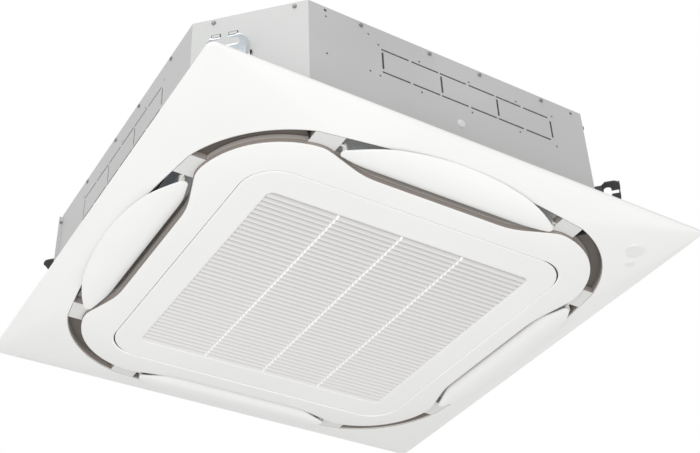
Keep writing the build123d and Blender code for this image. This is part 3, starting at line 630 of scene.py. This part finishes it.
# %% Outer edge of the air channel
CORNER_CENTRE, CORNER_RADIUS, CORNER_TURN, SIDE_APEX = 189.0, 225.0, math.radians(17.5), 424.0
join_near = CORNER_CENTRE + CORNER_RADIUS * math.sin(CORNER_TURN)
join_far = CORNER_CENTRE + CORNER_RADIUS * math.cos(CORNER_TURN)
rise = SIDE_APEX - join_far
bow_radius = (join_near ** 2 + rise ** 2) / (2 * rise)
by_side = np.linspace(0, join_near, 60)
in_corner = np.linspace(CORNER_TURN, math.pi / 4, 40)[1:]
along = np.concatenate([by_side, CORNER_CENTRE + CORNER_RADIUS * np.sin(in_corner)])
outward = np.concatenate([SIDE_APEX - bow_radius + np.sqrt(bow_radius ** 2 - by_side ** 2),
                          CORNER_CENTRE + CORNER_RADIUS * np.cos(in_corner)])
OUTLET = np.interp(NEAR / FAR, along / outward, np.hypot(along, outward))

# %% [markdown]
# The centre panel is a rounded square that steps back behind each flap. The step has two straight
# lines and soft knees, and a running mean over the directions rounds them.

# %% Inner edge of the air channel
RECESS, STEP_START, STEP_SLOPE = 352.5, 148.5, math.tan(math.radians(18.9))
to_recess = RECESS / FAR
to_slope = (RECESS - STEP_START * STEP_SLOPE) / (FAR - STEP_SLOPE * NEAR)
notched = np.minimum(rounded_square(380.0, 160.0), np.maximum(to_recess, to_slope))
stepped = smoothed(notched, 3.6)
CENTRE = np.maximum(stepped, smoothed(stepped, 6.5))
print("channel width at mid side:", round(float(OUTLET[0] - CENTRE[0]), 1), "mm")

# %% [markdown]
# The panel is a very flat dome. It is given as a few level lines from the rim to the flat middle:
# half-size, corner radius and height. Between them the values run through a smooth curve, and the
# height over any point of the plan is found by halving the interval until it fits.

# %% The dome as a height over the plan
HALF_SIZE, RIM_CORNER, FACE = 475.0, 14.0, -39.0
FLAT_HALF, FLAT_CORNER = 300.0, 90.0
LEVELS = np.array([
    (HALF_SIZE, RIM_CORNER, -5.0), (458.5, 75.0, -11.0), (443.0, 120.0, -16.0),
    (426.0, 159.0, -21.0), (408.0, 195.0, -26.0), (382.0, 167.0, -31.0), (352.5, 140.0, -35.5),
    (328.0, 115.0, -37.6), (FLAT_HALF, FLAT_CORNER, FACE),
])


def level_line(step):
    """Half-size, corner radius and height at a step along the list, on a Catmull-Rom curve."""
    last = len(LEVELS) - 1
    place = np.clip(step, 0, last - 1e-6)
    first = place.astype(int)
    t = (place - first)[:, None]
    before, here = LEVELS[np.maximum(first - 1, 0)], LEVELS[first]
    ahead, beyond = LEVELS[first + 1], LEVELS[np.minimum(first + 2, last)]
    curve = 2 * here + (ahead - before) * t + (2 * before - 5 * here + 4 * ahead - beyond) * t ** 2
    return (curve + (3 * here - before - 3 * ahead + beyond) * t ** 3) / 2


def dome(distance):
    """Height of the dome at the given distance in each direction."""
    low, high = np.zeros(len(ROUND)), np.full(len(ROUND), len(LEVELS) - 1.0)
    for _ in range(24):
        middle = (low + high) / 2
        half, corner, _ = level_line(middle).T
        inside = distance < rounded_square(half, corner)
        low, high = np.where(inside, middle, low), np.where(inside, high, middle)
    height = level_line((low + high) / 2)[:, 2]
    return np.where(distance <= rounded_square(FLAT_HALF, FLAT_CORNER), FACE, height)


print("dome height where the channel starts:", round(float(dome(OUTLET)[0]), 1), "mm")

# %% [markdown]
# ## Building surfaces from rings
#
# A ring is one closed line of points round the centre. A surface is a list of rings, written from one
# edge to the other as a turner would cut the profile, and joined by four-sided faces.


# %% Ring surfaces
def ring(distance, height):
    """One closed line of points, from a distance and a height for each direction (mm)."""
    flat = np.broadcast_to(np.asarray(height, float), distance.shape)
    return np.stack([distance * COS * MM, distance * SIN * MM, level(flat)], axis=1)


def piece(name, points, faces, finish, body="unit", slot="white_plastic", bend=None):
    """A smooth mesh object, with its faces turned outwards where it is closed. Where faces meet at
    more than the bend, an angle in degrees, the corner stays crisp."""
    mesh = bpy.data.meshes.new(name)
    mesh.from_pydata([tuple(p) for p in points], [], faces)
    mesh.validate()
    solid = bmesh.new()
    solid.from_mesh(mesh)
    if all(edge.is_manifold for edge in solid.edges):
        bmesh.ops.recalc_face_normals(solid, faces=solid.faces[:])
        solid.to_mesh(mesh)
    solid.free()
    mesh.shade_smooth()
    if bend:
        mesh.set_sharp_from_angle(angle=math.radians(bend))
    mesh.materials.append(finish.material)
    thing = bpy.data.objects.new(name, mesh)
    bpy.context.scene.collection.objects.link(thing)
    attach(thing, body)
    return thing


def faces_between(rows, count, closed=False):
    """Four-sided faces between rows of points; closed also joins the last row to the first."""
    pairs = [(row, row + 1) for row in range(rows - 1)] + ([(rows - 1, 0)] if closed else [])
    return [(a * count + i, a * count + (i + 1) % count, b * count + (i + 1) % count, b * count + i)
            for a, b in pairs for i in range(count)]


def from_rings(name, rings, finish, closed=False, **rest):
    """A surface from its rings."""
    faces = faces_between(len(rings), len(rings[0]), closed)
    return piece(name, np.concatenate(rings), faces, finish, **rest)


# %% [markdown]
# ## Outer panel
#
# The real panel is one moulding: a lip rolls round the channel's edge, the dome runs out to the rim,
# and the rim turns up to the ceiling. The rings follow that order, and the skin lies three tenths of
# a millimetre over the measured solid, so that only the smooth surface shows.

# %% Outer panel skin
PROUD, OUTLET_TOP = 0.3, -12.0
LIP = [(0.0, 2.4), (0.2, 1.2), (0.7, 0.5), (1.5, 0.12)]
RIM_ROLL = [(-1.3, -0.05), (-0.6, 0.12), (0.0, 0.5), (0.42, 1.1), (0.6, 1.8)]
RIM_TOP = [(0.6, -0.8), (0.45, -0.1), (0.0, 0.2), (-2.3, 0.2)]
rim = rounded_square(HALF_SIZE, RIM_CORNER)
lip_height = dome(OUTLET) - PROUD
outer_rings = [ring(OUTLET - PROUD + out, lip_height + up) for out, up in LIP]
for share in np.linspace(0.02, 0.985, 26):
    distance = OUTLET + 1.5 + (rim - 2.0 - OUTLET - 1.5) * share
    outer_rings.append(ring(distance, dome(distance) - PROUD))
rim_line = dome(rim - 2.0) - PROUD
outer_rings += [ring(rim + out, rim_line + up) for out, up in RIM_ROLL]
outer_rings += [ring(rim + out, height) for out, height in RIM_TOP]
panel_face = from_rings("panel_face", outer_rings, panel_rimmed)
outlet_wall = [ring(OUTLET - PROUD, OUTLET_TOP), ring(OUTLET - PROUD, lip_height + 2.4)]
from_rings("channel_wall_outer", outlet_wall, channel_grey)
print("outer panel faces:", len(panel_face.data.polygons))

# %% [markdown]
# ## Centre panel
#
# It carries the grille. The gap between the two is fine along the sides and opens to three millimetres
# in the corners, because the grille's back corners have to pass when it swings down on its hinges. At
# the front left corner it stays fine. The edge beside the gap is a soft bevel, wider at the back and
# on the right, and painted a lighter white than the panel as a painted highlight, so it is the
# brightest line of the panel.

# %% Edge beside the gap
SEAM, SEAM_CORNER, FINE_CORNER, SEAM_TOP = 310.85, 60.0, 67.0, -36.9
BEVEL, BACK_BEVEL, FOOT, FOOT_CORNER = 1.35, 0.95, 312.2, 56.0
EDGE = [(0.0, 1.8), (0.25, 1.15), (0.6, 0.5), (0.9, 0.1), (1.0, 0.02)]
front_left = (COS < 0) & (SIN < 0)
seam = np.where(front_left, rounded_square(SEAM, FINE_CORNER), rounded_square(SEAM, SEAM_CORNER))
bevel = np.maximum(rounded_square(FOOT, FOOT_CORNER), seam + BEVEL) - seam
bevel = np.where(front_left, BEVEL, bevel) + BACK_BEVEL * np.clip(COS + SIN, 0, 1)
seam_face = dome(seam) - PROUD
edge_rings = [ring(seam - 0.1, SEAM_TOP)]
edge_rings += [ring(seam + share * bevel, seam_face + up) for share, up in EDGE]
# Painted highlight: the bevel takes the lighter white.
from_rings("centre_edge", edge_rings, white_with_painted_highlight)
print("gap's bevel:", round(float(bevel.min()), 2), "to", round(float(bevel.max()), 2), "mm")

# %% Centre panel skin, from that edge to the air channel
CHANNEL_ROLL = [(-0.7, 0.06), (-0.3, 0.3), (-0.05, 0.8)]
edge_height = dome(CENTRE) - PROUD
inner_rings = [edge_rings[-1]]
for share in np.linspace(0.03, 0.975, 20):
    distance = seam + bevel + (CENTRE - 2.2 - seam - bevel) * share
    inner_rings.append(ring(distance, dome(distance) - PROUD))
inner_rings += [ring(CENTRE + out + PROUD, edge_height + up) for out, up in CHANNEL_ROLL]
centre_face = from_rings("centre_face", inner_rings, panel_white, bend=38.0)
print("centre panel faces:", len(centre_face.data.polygons))

# %% [markdown]
# The wall above that edge belongs to the air channel. It is moulded in warm grey, has a fine parting
# groove nearly half way up, and is paler above it.

# %% Inner wall of the air channel
GROOVE_SHARE, GROOVE_REFERENCE, WALL_TOP = 0.45, -13.5, -15.2
groove = edge_height + (GROOVE_REFERENCE - edge_height) * GROOVE_SHARE
lower_wall = [inner_rings[-1], ring(CENTRE + PROUD, edge_height + 1.3),
              ring(CENTRE + PROUD, groove - 0.4), ring(CENTRE - 0.5, groove)]
upper_wall = [lower_wall[-1], ring(CENTRE + PROUD + 0.2, groove + 0.5),
              ring(CENTRE + PROUD, WALL_TOP)]
from_rings("channel_wall_lower", lower_wall, channel_grey, bend=38.0)
from_rings("channel_wall_upper", upper_wall, wall_grey, bend=38.0)
print("groove at", round(float(groove[0]), 1), "mm")

# %% [markdown]
# ## Intake grille
#
# A flat frame with softly rounded edges, both at the gap and round the louvre field. It is closed
# at the back, because it shows from all sides when the grille hangs open.

# %% Grille frame
GRILLE, GRILLE_CORNER = 310.3, 66.0
FIELD_X, FIELD_Y, FIELD_CORNER = 259.5, 252.5, 12.0
FRAME_EDGE = [(0.0, 0.9), (0.2, 0.4), (0.7, 0.1), (1.6, -0.02)]
FIELD_EDGE = [(2.6, 0.0), (1.5, 0.4), (0.6, 1.1), (0.0, 2.2)]
FRAME_BACK = [(0.0, -32.0), (4.0, -32.0), (5.0, -36.0)]
grille_edge = rounded_square(GRILLE, GRILLE_CORNER)
field = rounded_oblong(FIELD_X, FIELD_Y, FIELD_CORNER)
frame_rings = [ring(grille_edge, -36.2)]
frame_rings += [ring(grille_edge - inward, FACE + up) for inward, up in FRAME_EDGE]
for share in np.linspace(0.1, 0.95, 8):
    distance = grille_edge - 1.6 + (field + 3.2 - grille_edge + 1.6) * share
    frame_rings.append(ring(distance, FACE - 0.02))
frame_rings += [ring(field + out, FACE + up) for out, up in FIELD_EDGE]
frame_rings += [ring(field + out, height) for out, height in FRAME_BACK]
grille_frame = from_rings("grille_frame", frame_rings, panel_white, closed=True, body="grille")
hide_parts("suction_grille")
print("grille frame faces:", len(grille_frame.data.polygons))

# %% [markdown]
# The slats are thin blades set at a slant, so that from the room one sees their faces and not the
# filter. One outline swept along the field gives a blade, and each blade is a closed solid of its own.


# %% Solids from cross-sections
def lofted(rows):
    """Points and faces of a solid through cross-sections of equal count, with two ends."""
    count = len(rows[0])
    points = [point for row in rows for point in row]
    ends = [tuple(range(count))[::-1], tuple(range(len(points) - count, len(points)))]
    return points, faces_between(len(rows), count) + ends


def swept(outline, start, end, placed):
    """Sweeps a closed outline; placed turns (side, height, along) in mm into a point."""
    return lofted([[placed(side, height, along) for side, height in outline]
                   for along in (start, end)])


def along_x(side, height, along):
    """A point of an outline that is swept along X."""
    return (along * MM, side * MM, level(height))


def joined(name, parts, finish, **rest):
    """One object from several lists of points and faces."""
    points, faces = [], []
    for some_points, some_faces in parts:
        start = len(points)
        points += some_points
        faces += [tuple(start + i for i in f) for f in some_faces]
    return piece(name, points, faces, finish, **rest)


# %% Slats
SLATS, PITCH, TREAD = 42, 11.95, 10.6
BLADE = [(0.0, 7.2), (1.8, 5.5), (3.6, 3.9), (5.6, 2.5), (8.0, 1.2), (9.7, 0.35), (10.3, 0.25),
         (TREAD, 0.6), (TREAD, 1.8), (5.0, 5.2), (0.8, 7.6)]
starts = [(index - SLATS / 2) * PITCH + 0.6 for index in range(SLATS)]
bars = []
for start in starts:
    past = max(abs(start + TREAD / 2) - (FIELD_Y - FIELD_CORNER), 0.0)
    in_corner = math.sqrt(FIELD_CORNER ** 2 - min(past, FIELD_CORNER - 0.5) ** 2)
    reach = FIELD_X - FIELD_CORNER + in_corner + 0.5
    blade = [(start + side, FACE + rise) for side, rise in BLADE]
    bars.append(swept(blade, -reach, reach, along_x))
slats = joined("grille_slats", bars, slat_white, body="grille", bend=50.0)
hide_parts("suction_grille")
print("slats:", SLATS)

# %% [markdown]
# Three narrow ribs tie the slats together. Each follows their lower edges, so that from below it
# shows as a row of bright beads. It is lofted in one go, with six cross-sections for each slat.

# %% Ribs
RIBS = (-128.5, -4.5, 119.5)
CROWN = [(-2.6, 4.4), (-2.4, 1.4), (-1.4, 0.35), (0.0, 0.0), (1.4, 0.35), (2.4, 1.4), (2.6, 4.4)]
BEAD = [(0.4, 2.4), (4.6, 1.5), (7.8, 0.5), (9.6, -0.15), (10.5, -0.1), (11.2, 1.0)]
ribs = [lofted([[((rib + x) * MM, (start + side) * MM, level(FACE + dip + rise))
                 for x, rise in CROWN] for start in starts for side, dip in BEAD]) for rib in RIBS]
# Painted highlight: the ribs take the lighter white.
grille_ribs = joined("grille_ribs", ribs, white_with_painted_highlight, body="grille", bend=70.0)
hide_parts("suction_grille")
print("ribs:", len(ribs))

# %% [markdown]
# ## Flaps
#
# Each flap is one long shell. Its underside rolls up tightly at the inner edge, is fullest near the
# hinge line and then rises in one long curve to the outer edge. Seen from below its inner edge is
# straight, its outer edge is bowed, and both ends taper like the tips of a wing. Two arcs that share
# a point draw each of those lines, which keeps them fair where a hand-placed curve would wobble.


# %% The flap's section and plan
def on_circle(x, y, radius, turns):
    """Points of a circle at the given turns."""
    return [(x + radius * math.cos(t), y + radius * math.sin(t)) for t in turns]


def arc_through(a, b, c, count):
    """Points on the arc through three points of a plane."""
    ax, ay, bx, by, cx, cy = *a, *b, *c
    d = 2 * (ax * (by - cy) + bx * (cy - ay) + cx * (ay - by))
    a2, b2, c2 = ax ** 2 + ay ** 2, bx ** 2 + by ** 2, cx ** 2 + cy ** 2
    ux = (a2 * (by - cy) + b2 * (cy - ay) + c2 * (ay - by)) / d
    uy = (a2 * (cx - bx) + b2 * (ax - cx) + c2 * (bx - ax)) / d
    radius = math.hypot(ax - ux, ay - uy)
    first, _, last = np.unwrap([math.atan2(y - uy, x - ux) for x, y in (a, b, c)])
    return on_circle(ux, uy, radius, np.linspace(first, last, count))


def two_arcs(start, by_first, join, by_second, end, counts):
    """A line of two arcs that meet at a point."""
    second = arc_through(join, by_second, end, counts[1])
    return np.array(arc_through(start, by_first, join, counts[0]) + second[1:])


TIP = 206.0
under_line = two_arcs(
    (364.0, -27.2), (372.6, -33.5), (385.0, -36.2), (407.0, -33.6), (439.0, -19.2), (24, 40))
over_line = two_arcs(
    (364.6, -22.6), (372.6, -29.2), (385.0, -32.8), (407.0, -30.8), (439.0, -17.4), (24, 40))
outer_line = two_arcs(
    (0.0, 437.4), (57.0, 435.1), (112.0, 428.0), (163.0, 413.5), (TIP, 391.0), (30, 30))

# %% Both edges of a flap along its length
FLAP_INNER, INNER_AT_TIP, TAPER, EASED, TIP_ROUND = 364.5, 380.0, 150.0, 14.0, 4.5


def flap_edges(place):
    """Inner and outer distance of the flap at a place along it, with rounded tips."""
    x = abs(place)
    slope = (INNER_AT_TIP - FLAP_INNER) / (TIP - TAPER)
    inner = FLAP_INNER + slope * max(x - TAPER, 0.0)
    if abs(x - TAPER) < EASED:
        inner = FLAP_INNER + slope * (x - (TAPER - EASED)) ** 2 / (4 * EASED)
    outer = float(np.interp(x, outer_line[:, 0], outer_line[:, 1]))
    pull = max(x - (TIP - TIP_ROUND), 0.0) / TIP_ROUND
    ease = TIP_ROUND * (1 - math.sqrt(max(1 - pull ** 2, 0.0)))
    return inner + ease, outer - ease


print("flap width at the middle:", round(float(np.ptp(flap_edges(0))), 1), "mm")

# %% Flap shell, lofted from tip to tip
ACROSS, WALL_THICKNESS, ROUND_POWER = 40, 1.7, 40
spread = (1 - np.cos(np.linspace(0, math.pi, ACROSS))) / 2
near_tip = [sign * x for sign in (-1, 1) for x in (202.6, 204.0, 205.2, 205.8, TIP)]
stations = sorted(set([round(x, 2) for x in np.linspace(-TIP, TIP, 83)] + near_tip))
sections = []
for place in stations:
    inner, outer = flap_edges(place)
    y = inner + (outer - inner) * spread
    low = np.interp(y, under_line[:, 0], under_line[:, 1])
    high = np.interp(y, over_line[:, 0], over_line[:, 1], left=over_line[0, 1])
    thick = np.maximum(high - low, WALL_THICKNESS)
    to_edge = 2 * np.abs(y - (inner + outer) / 2) / max(outer - inner, 1e-6)
    half = thick / 2 * np.sqrt(np.clip(1 - to_edge ** ROUND_POWER, 0, 1))
    middle = low + thick / 2
    loop = list(zip(y, middle - half)) + list(zip(y[::-1], (middle + half)[::-1]))
    sections.append([(place * MM, -side * MM, level(height)) for side, height in loop])
flap_shell = lofted(sections)
print("flap points:", len(flap_shell[0]))

# %% [markdown]
# At both ends a short arm stands up behind the tip and carries the pivot pin. All four flaps are the
# same moulding, turned a quarter each time.


# %% Arms and pins, and the four flaps in their places
def moved(parts, to_place):
    """The same parts, turned and shifted to their place."""
    return [([tuple(to_place @ Vector(point)) for point in points], faces)
            for points, faces in parts]


PIN = on_circle(-390.0, -22.0, 2.0, [2 * math.pi * i / 20 for i in range(20)])
ARM = [(-394.5, -33.4), (-394.5, -22.0), (-393.2, -18.8), (-390.0, -17.5), (-386.8, -18.8),
       (-385.5, -22.0), (-385.5, -33.4)]
arms = [swept(line, *sorted((sign * near, sign * far)), along_x) for sign in (-1, 1)
        for line, near, far in ((ARM, 200.5, 203.5), (PIN, 203.5, 225.0))]
for quarter, side in enumerate(("front", "right", "back", "left")):
    turned = Matrix.Rotation(quarter * math.pi / 2, 4, "Z")
    body = "flap_" + side
    blade = joined("flap_blade_" + side, moved([flap_shell], turned), panel_white, body=body,
                   bend=60.0)
    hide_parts(body)
    joined("flap_arms_" + side, moved(arms, turned), part_white, body=body, bend=50.0)
    print("placed", body, "with faces:", len(blade.data.polygons))

# %% [markdown]
# ## Hanger brackets
#
# Each corner carries a pressed zinc bracket. Its ear has a slot for the suspension rod that is open
# towards the tip, so that the unit can be hooked in. The two brackets that show best, at the front
# left and the back left, are rebuilt here with their exact ears, swept up from the plan of the sheet.

# %% Bracket ear, back plate and gussets
SHEET, EAR_SHIFT = 2.5, 24.7
WALL = (840.0 - 140.0) / math.sqrt(2)


def on_bracket(side, out_by, height):
    """A point of a bracket: along the wall, out from the unit's middle, and over the hanger line."""
    return (side * MM, -out_by * MM, level(HANGER_HEIGHT + height))


half_slot = [(6.5, 541.5), (13.5, 541.5)]
half_slot += on_circle(13.5, 533.7, 7.8, np.radians(np.linspace(80, -90, 8)))


def bracket_parts(tip, half):
    """Ear, back plate and gussets of a bracket whose ear has the given tip and half width."""
    half_ear = [(6.5, tip), (half - 15.5, tip)]
    half_ear += on_circle(half - 15.0, tip - 13.5, 15.0, np.radians(np.linspace(80, 0, 8)))
    half_ear += [(half, 517.5), (half - 2.5, 511.0), (24.0, 505.0), (24.0, WALL)]
    right = half_slot[::-1] + half_ear
    ear = right + [(-side, out_by) for side, out_by in right[::-1]]
    back = [(-30.0, WALL), (30.0, WALL), (30.0, WALL + SHEET), (-30.0, WALL + SHEET)]
    gusset = [(WALL + out, height) for out, height in
              ((SHEET, 0.0), (16.0, 0.0), (16.0, -20.0), (6.0, -30.0), (SHEET, -30.0))]
    return [swept(ear, 0.0, SHEET, on_bracket), swept(back, -55.0, SHEET, on_bracket)] + [
        swept(gusset, side, side + SHEET, lambda out_by, rise, x: on_bracket(x, out_by, rise))
        for side in (-24.0, 21.5)]


# %% [markdown]
# Beside the slot's mouth the sheet is turned up in two lips. The face of a lip is bright, and the
# shade along its cut edge is painted: a slightly larger piece in dark zinc stands behind the face. A
# black strip beside the ear is a painted shadow.

# %% Lips with painted shade, a painted shadow strip, and both brackets in their places
def lip_parts(inset, front, rise):
    """The two turned-up ends beside the mouth of the slot."""
    parts = []
    for start, end in ((-22.0, -6.5), (6.5, 22.0)):
        low, high = start + inset, end - inset
        outline = [(low, 542.3), (high, 542.3), (high, 544.5 + front), (low, 544.5 + front)]
        parts.append(swept(outline, 2.0 + rise, 10.0 - rise, on_bracket))
    return parts


# Painted shadow: the outline of a black strip flush on the wall beside the ear.
painted_shadow_strip = [(27.0, WALL), (29.6, WALL), (29.6, WALL + 3.0), (27.0, WALL + 3.0)]
at_front_left = (Matrix.Rotation(math.radians(-45.0), 4, "Z")
                 @ Matrix.Translation((-EAR_SHIFT * MM, 0, 0)))
at_back_left = (Matrix.Rotation(math.radians(-135.0), 4, "Z")
                @ Matrix.Translation((EAR_SHIFT * MM, 0, 5 * MM)))
bracket_pieces = [
    # Painted shade: the back left ear takes the dark copy of the zinc.
    ("bracket_ear_back_left", bracket_parts(557.5, 39.0), zinc_in_painted_shade, at_back_left),
    ("bracket_ear", bracket_parts(544.5, 34.5), bracket_zinc, at_front_left),
    # Painted shade: the dark cut edge of the lips.
    ("bracket_lip_painted_shade", lip_parts(0.0, 0.0, 0.0), zinc_in_painted_shade, at_front_left),
    ("bracket_lip", lip_parts(1.3, 0.4, 1.3), casing_zinc, at_front_left),
    # Painted shadow: the black strip beside the ear.
    ("bracket_painted_shadow", [swept(painted_shadow_strip, -2.0, 11.0, on_bracket)], black_rubber, at_front_left),
]
for label, parts, finish, to_place in bracket_pieces:
    pressed = joined(label, moved(parts, to_place), finish, slot="zinc_plated_steel", bend=40.0)
    corner = "back_left" if to_place is at_back_left else "front_left"
    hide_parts("hanger_bracket_" + corner)
print("bracket pieces:", len(bracket_pieces))

# %% [markdown]
# ## Plug and painted shadow bars
#
# The front wall has one unused cable entry, closed with a pressed-in domed plug. It is turned from
# its profile, as rings about its own axis.

# %% Plug in the front wall
PLUG_X, PLUG_HEIGHT, FRONT_WALL = 10.0, 92.0, -420.0
PLUG_PROFILE = [(8.3, -0.4), (8.3, 0.5), (7.9, 1.1), (6.6, 1.7), (4.4, 2.1), (2.0, 2.3), (0.2, 2.35)]
turns = np.radians(np.arange(0, 360, 10))
plug_rings = [np.array([(x * MM, (FRONT_WALL - out_by) * MM, level(height))
                        for x, height in on_circle(PLUG_X, PLUG_HEIGHT, radius, turns)])
              for radius, out_by in PLUG_PROFILE]
from_rings("wall_plug", plug_rings, plug_grey, slot="galvanised_steel", bend=50.0)
print("plug rings:", len(plug_rings))

# %% [markdown]
# On the front a joint runs across the air channel beside each hinge cover, where the corner wall meets
# the housing of the hinge. Its shade is painted: a thin black bar stands in the gap, and only its
# lower edge shows.

# %% Painted shadow bars across the air channel
SHADOW_BAR = [(273.4, -396.3), (261.6, -382.2), (260.3, -383.3), (272.1, -397.4)]
shadow_bars = [swept([(sign * x, y) for x, y in SHADOW_BAR], -26.5, -13.0,
                lambda x, y, rise: (x * MM, y * MM, level(rise))) for sign in (-1, 1)]
# Painted shadow: black bars in the gaps beside the front hinge covers.
joined("channel_painted_shadow_bars", shadow_bars, black_rubber, slot="black_plastic", bend=40.0)
print("joints:", len(shadow_bars))

# %% [markdown]
# ## Floor
#
# A plain pale floor, so far below that the unit can be looked at from straight underneath.

# %% Floor
FLOOR_HALF, FLOOR_Z = 30, -4.4
floor_mesh = bpy.data.meshes.new("studio_floor")
floor_corners = [(x * FLOOR_HALF, y * FLOOR_HALF, FLOOR_Z)
                 for x, y in ((-1, -1), (1, -1), (1, 1), (-1, 1))]
floor_mesh.from_pydata(floor_corners, [], [(0, 1, 2, 3)])
floor = bpy.data.objects.new("studio_floor", floor_mesh)
bpy.context.scene.collection.objects.link(floor)
floor_pale = Finish("floor_pale", 0.9, 0.0, 0.2)
mottle = floor_pale.effect(moulded, {"Tone scale": 0.8, "Grain scale": 60.0})
floor_pale.paint(floor_pale.colours(mottle["Tone"], (238, 238, 237), (243, 243, 242)))
floor_mesh.materials.append(floor_pale.material)
floor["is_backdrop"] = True
print("floor at z =", FLOOR_Z)

# %% [markdown]
# ## Size and finish
#
# The dressed unit has to stay the size of the measured one, so the box round it is measured.

# %% Sizes, look settings and the end
bpy.context.scene.view_settings.view_transform = "Standard"
low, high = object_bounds()
